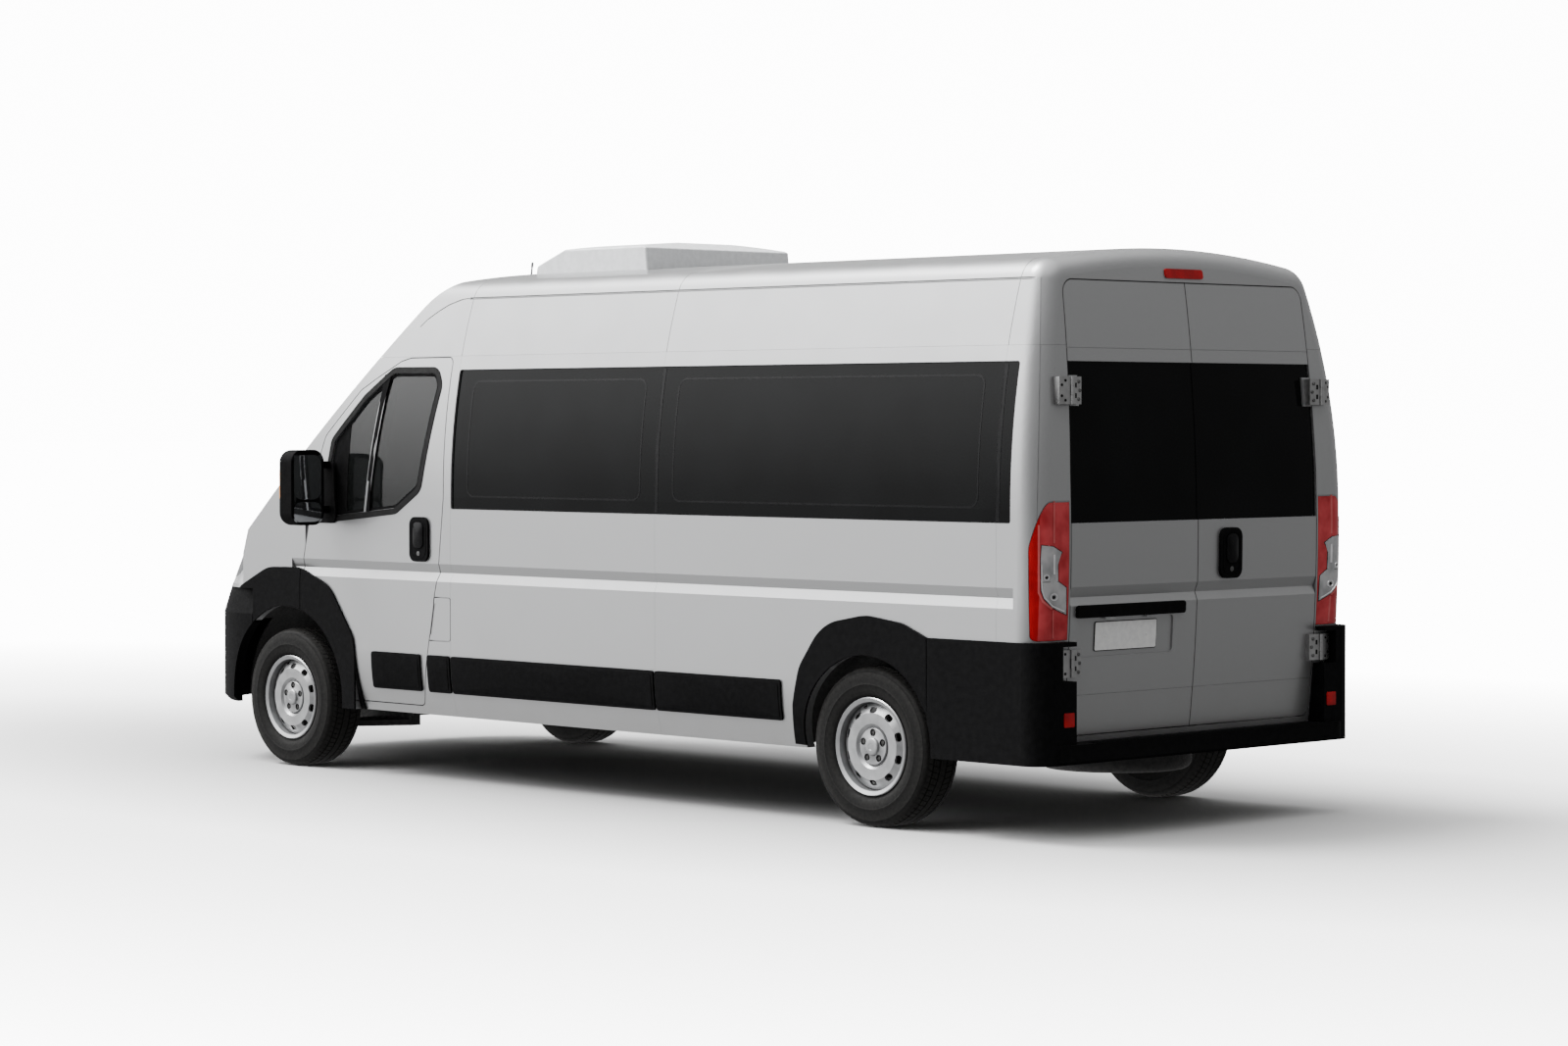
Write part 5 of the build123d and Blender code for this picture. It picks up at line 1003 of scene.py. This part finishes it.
def seat(pads, piping, posts, front_x, y, base, width, headrests=(0,), bolster=0.62):
    """One seat: cushion, backrest and headrests on their posts."""
    lean = Vector((-0.176, 0, 0.984))
    face = Vector((0.984, 0, 0.176))
    tilt = Vector((-0.998, 0, -0.058))
    pillow(pads, piping, (front_x - 0.232, y, base + 0.050), tilt, (-0.058, 0, 0.998),
           width - 0.010, 0.462, 0.060, 0.046, (bolster,), (-0.30, 0.12, 0.5))
    pillow(pads, piping, (front_x - 0.512, y, base + 0.360), lean, face, width - 0.012, 0.565,
           0.055, 0.042, (bolster,), (-0.62, -0.25, 0.12, 0.5))
    for shift in headrests:
        pillow(pads, None, (front_x - 0.568, y + shift, base + 0.732), (-0.10, 0, 0.995),
               (0.995, 0, 0.10), 0.265, 0.130, 0.036, 0.034, (), (), 16, 12)
        for side in (-0.06, 0.06):
            posts.tube([(front_x - 0.556, y + shift + side, base + 0.620),
                        (front_x - 0.562, y + shift + side, base + 0.690)], 0.006, 10)


ROW_FRONTS_X, PLACES_Y = (0.215, -0.560, -1.335, -2.110), (0.705, 0.265, -0.690)


def seats():
    """Four rows of three single seats, the driver's seat and the double seat beside it."""
    pads, piping, posts = Shape(), Shape(), Shape()
    for front_x in ROW_FRONTS_X:
        for y in PLACES_Y:
            seat(pads, piping, posts, front_x, y, 0.880, 0.425)
    seat(pads, piping, posts, 1.370, 0.430, 0.800, 0.500)
    seat(pads, piping, posts, 1.370, -0.410, 0.800, 0.900, (-0.23, 0.23), 0.80)
    made = pads.place("seat_pads", SEAT_CLOTH, "root", "seat_fabric", node="seats")
    piping.place("seat_piping", SEAT_PIPING, "root", "seat_fabric")
    posts.place("headrest_posts", CHROME, "root", "steel")


def dashboard():
    """Instrument glass, screen, vents and switches on the dashboard."""
    gloss, vents, keys = (Shape("dashboard", FROM_REAR) for part in range(3))
    gloss.patch(pad(0.0, 1.045, 0.210, 0.105, 0.012), 0.004)
    gloss.patch(pad(0.43, 1.160, 0.300, 0.060, 0.025), 0.003)
    for y, z in ((-0.155, 1.045), (0.155, 1.045), (0.800, 1.060), (-0.800, 1.060)):
        outline = pad(y, z, 0.075, 0.060, 0.010)
        vents.band(outline, 0.006, 0.004)
        for k in range(4):
            slat = z - 0.019 + 0.0125 * k
            vents.strip([(y - 0.030, slat), (y + 0.030, slat)], 0.004, 0.003)
    for k in range(3):
        keys.patch(ring(0.065 * (k - 1), 0.945, 0.018), 0.014, -0.001, rings=3)
    for k in range(5):
        keys.patch(pad(0.036 * (k - 2), 0.905, 0.028, 0.016, 0.003), 0.004, -0.001)
    gloss.place("dashboard_screens", GLOSS_BLACK)
    vents.place("dashboard_vents", GLOSS_BLACK)
    keys.place("dashboard_switches", CABIN_PLASTIC, bevel=0.001)


seats()
dashboard()


# ---------------------------------------------------------------- floor, light and camera
WHITE = 10.0                         # the strength that shows as pure white
SHELL, FLOOR = 300, 290              # radii of the backdrop and the floor
FRAME_WIDTH, FOCAL, SENSOR = 1600, 3863.4, 36    # frame and lens in pixels, sensor in mm


def camera():
    """Long lens at standing height behind the vehicle's left rear corner."""
    place = Vector((-13.1438, 12.2912, 1.7159))
    bearing, rise, roll = math.radians(-44.055), math.radians(-1.567), math.radians(-0.059)
    forward = Vector((math.cos(rise) * math.cos(bearing), math.cos(rise) * math.sin(bearing),
                      math.sin(rise)))
    data = bpy.data.cameras.new("camera")
    data.sensor_width = SENSOR
    data.lens = FOCAL / FRAME_WIDTH * SENSOR
    data.clip_end = 3 * SHELL
    made = added("camera", data)
    turn = forward.to_track_quat("-Z", "Y").to_matrix().to_4x4() @ Matrix.Rotation(roll, 4, "Z")
    made.matrix_world = Matrix.Translation(place) @ turn
    bpy.context.scene.camera = made


def surroundings():
    """Soft light from high on the left, dim from behind, as the world that the object reflects."""
    world = bpy.data.worlds.new("studio")
    bpy.context.scene.world = world
    world.use_nodes = True
    tree = world.node_tree
    place = tree.nodes.new("ShaderNodeTexCoord")

    def share(direction, dim_at, bright_at, low, high):
        dot = tree.nodes.new("ShaderNodeVectorMath")
        dot.operation = "DOT_PRODUCT"
        dot.inputs[1].default_value = Vector(direction).normalized()
        between = tree.nodes.new("ShaderNodeMapRange")
        between.interpolation_type = "SMOOTHSTEP"
        for socket, value in zip(("From Min", "From Max", "To Min", "To Max"),
                                 (dim_at, bright_at, low, high)):
            between.inputs[socket].default_value = value
        tree.links.new(place.outputs["Generated"], dot.inputs[0])
        tree.links.new(dot.outputs["Value"], between.inputs["Value"])
        return between.outputs["Result"]

    def total(a, b):
        both = tree.nodes.new("ShaderNodeMath")
        tree.links.new(a, both.inputs[0])
        tree.links.new(b, both.inputs[1])
        return both.outputs[0]

    side = total(share((0.55, 0.50, 0.67), 0.64, 1.0, 0.0, 7.6),
                 share((0.60, 0.55, -0.58), 0.05, 1.0, 0.0, 1.15))
    above = share((0, 0, 1), 0.55, 1.0, 0.0, 2.2)
    around = share((0, 0, 1), -0.6, 0.7, 0.30, 0.72)
    background = tree.nodes["Background"]
    background.inputs["Color"].default_value = (1, 1, 1, 1)
    tree.links.new(total(total(side, above), around), background.inputs["Strength"])


def only_seen(made):
    """Keeps a stage object out of reflections and bounces: it only shows behind the object."""
    made.visible_diffuse = made.visible_glossy = False
    made.visible_transmission = made.visible_shadow = False


def backdrop():
    """White shell far round the object, seen from every side."""
    rows = []
    for i in range(1, 24):
        up = -math.pi / 2 + math.pi * i / 24
        rows.append([(out * math.cos(up) + Z * math.sin(up)) * SHELL for out in spokes(X, Y, 48)])
    made = Shape().layers(rows)
    mesh = meshed("backdrop", made.verts, made.faces)
    s = Surface("backdrop_white", Roughness=1.0, Specular_IOR_Level=0.0, Base_Color=(0, 0, 0, 1),
                Emission_Color=(1, 1, 1, 1), Emission_Strength=1.35 * WHITE)
    mesh.materials.append(s.material)
    only_seen(added("backdrop", mesh))


def sun(direction, power, spread):
    data = bpy.data.lights.new("sun", "SUN")
    data.energy = power
    data.angle = math.radians(spread)
    made = added("sun", data)
    made.rotation_euler = (-Vector(direction)).to_track_quat("-Z", "Y").to_euler()


def floor():
    """Pale floor with a painted shadow pool: darkest under and round the object, it fades to white
    a few metres out.
    """
    mesh = meshed("floor", [out * FLOOR for out in spokes(X, Y, 64)], [tuple(range(64))])
    s = Surface("studio_floor", Roughness=0.95, Specular_IOR_Level=0.1, Emission_Color=(1, 1, 1, 1))

    def away(stretch, near, far):
        length = s.node("ShaderNodeVectorMath")
        length.operation = "LENGTH"
        s.link(s.placed("ShaderNodeMapping", Scale=stretch).outputs["Vector"], length.inputs[0])
        fade = s.node("ShaderNodeMapRange", From_Min=near, From_Max=far)
        s.link(length.outputs["Value"], fade.inputs["Value"])
        return fade.outputs["Result"]

    # painted shadow: the floor's colour runs from near black under the object to pale a few metres
    # out
    s.ramp(away((0.40, 1, 1), 0.6, 3.0), [(0.0, 0.10), (0.25, 0.30), (0.6, 0.52), (1.0, 0.80)],
           "Base Color")
    # the floor glows only far out, so near the object it stays as dark as the painted shadow pool
    glow = away((0.62, 1, 1), 2.2, 8.5)
    s.link(s.times(glow, glow, WHITE), s.shader.inputs["Emission Strength"])
    mesh.materials.append(s.material)
    only_seen(added("floor", mesh))


camera()
surroundings()
backdrop()
sun((0.45, 0.26, 0.85), 6.5, 22)
floor()
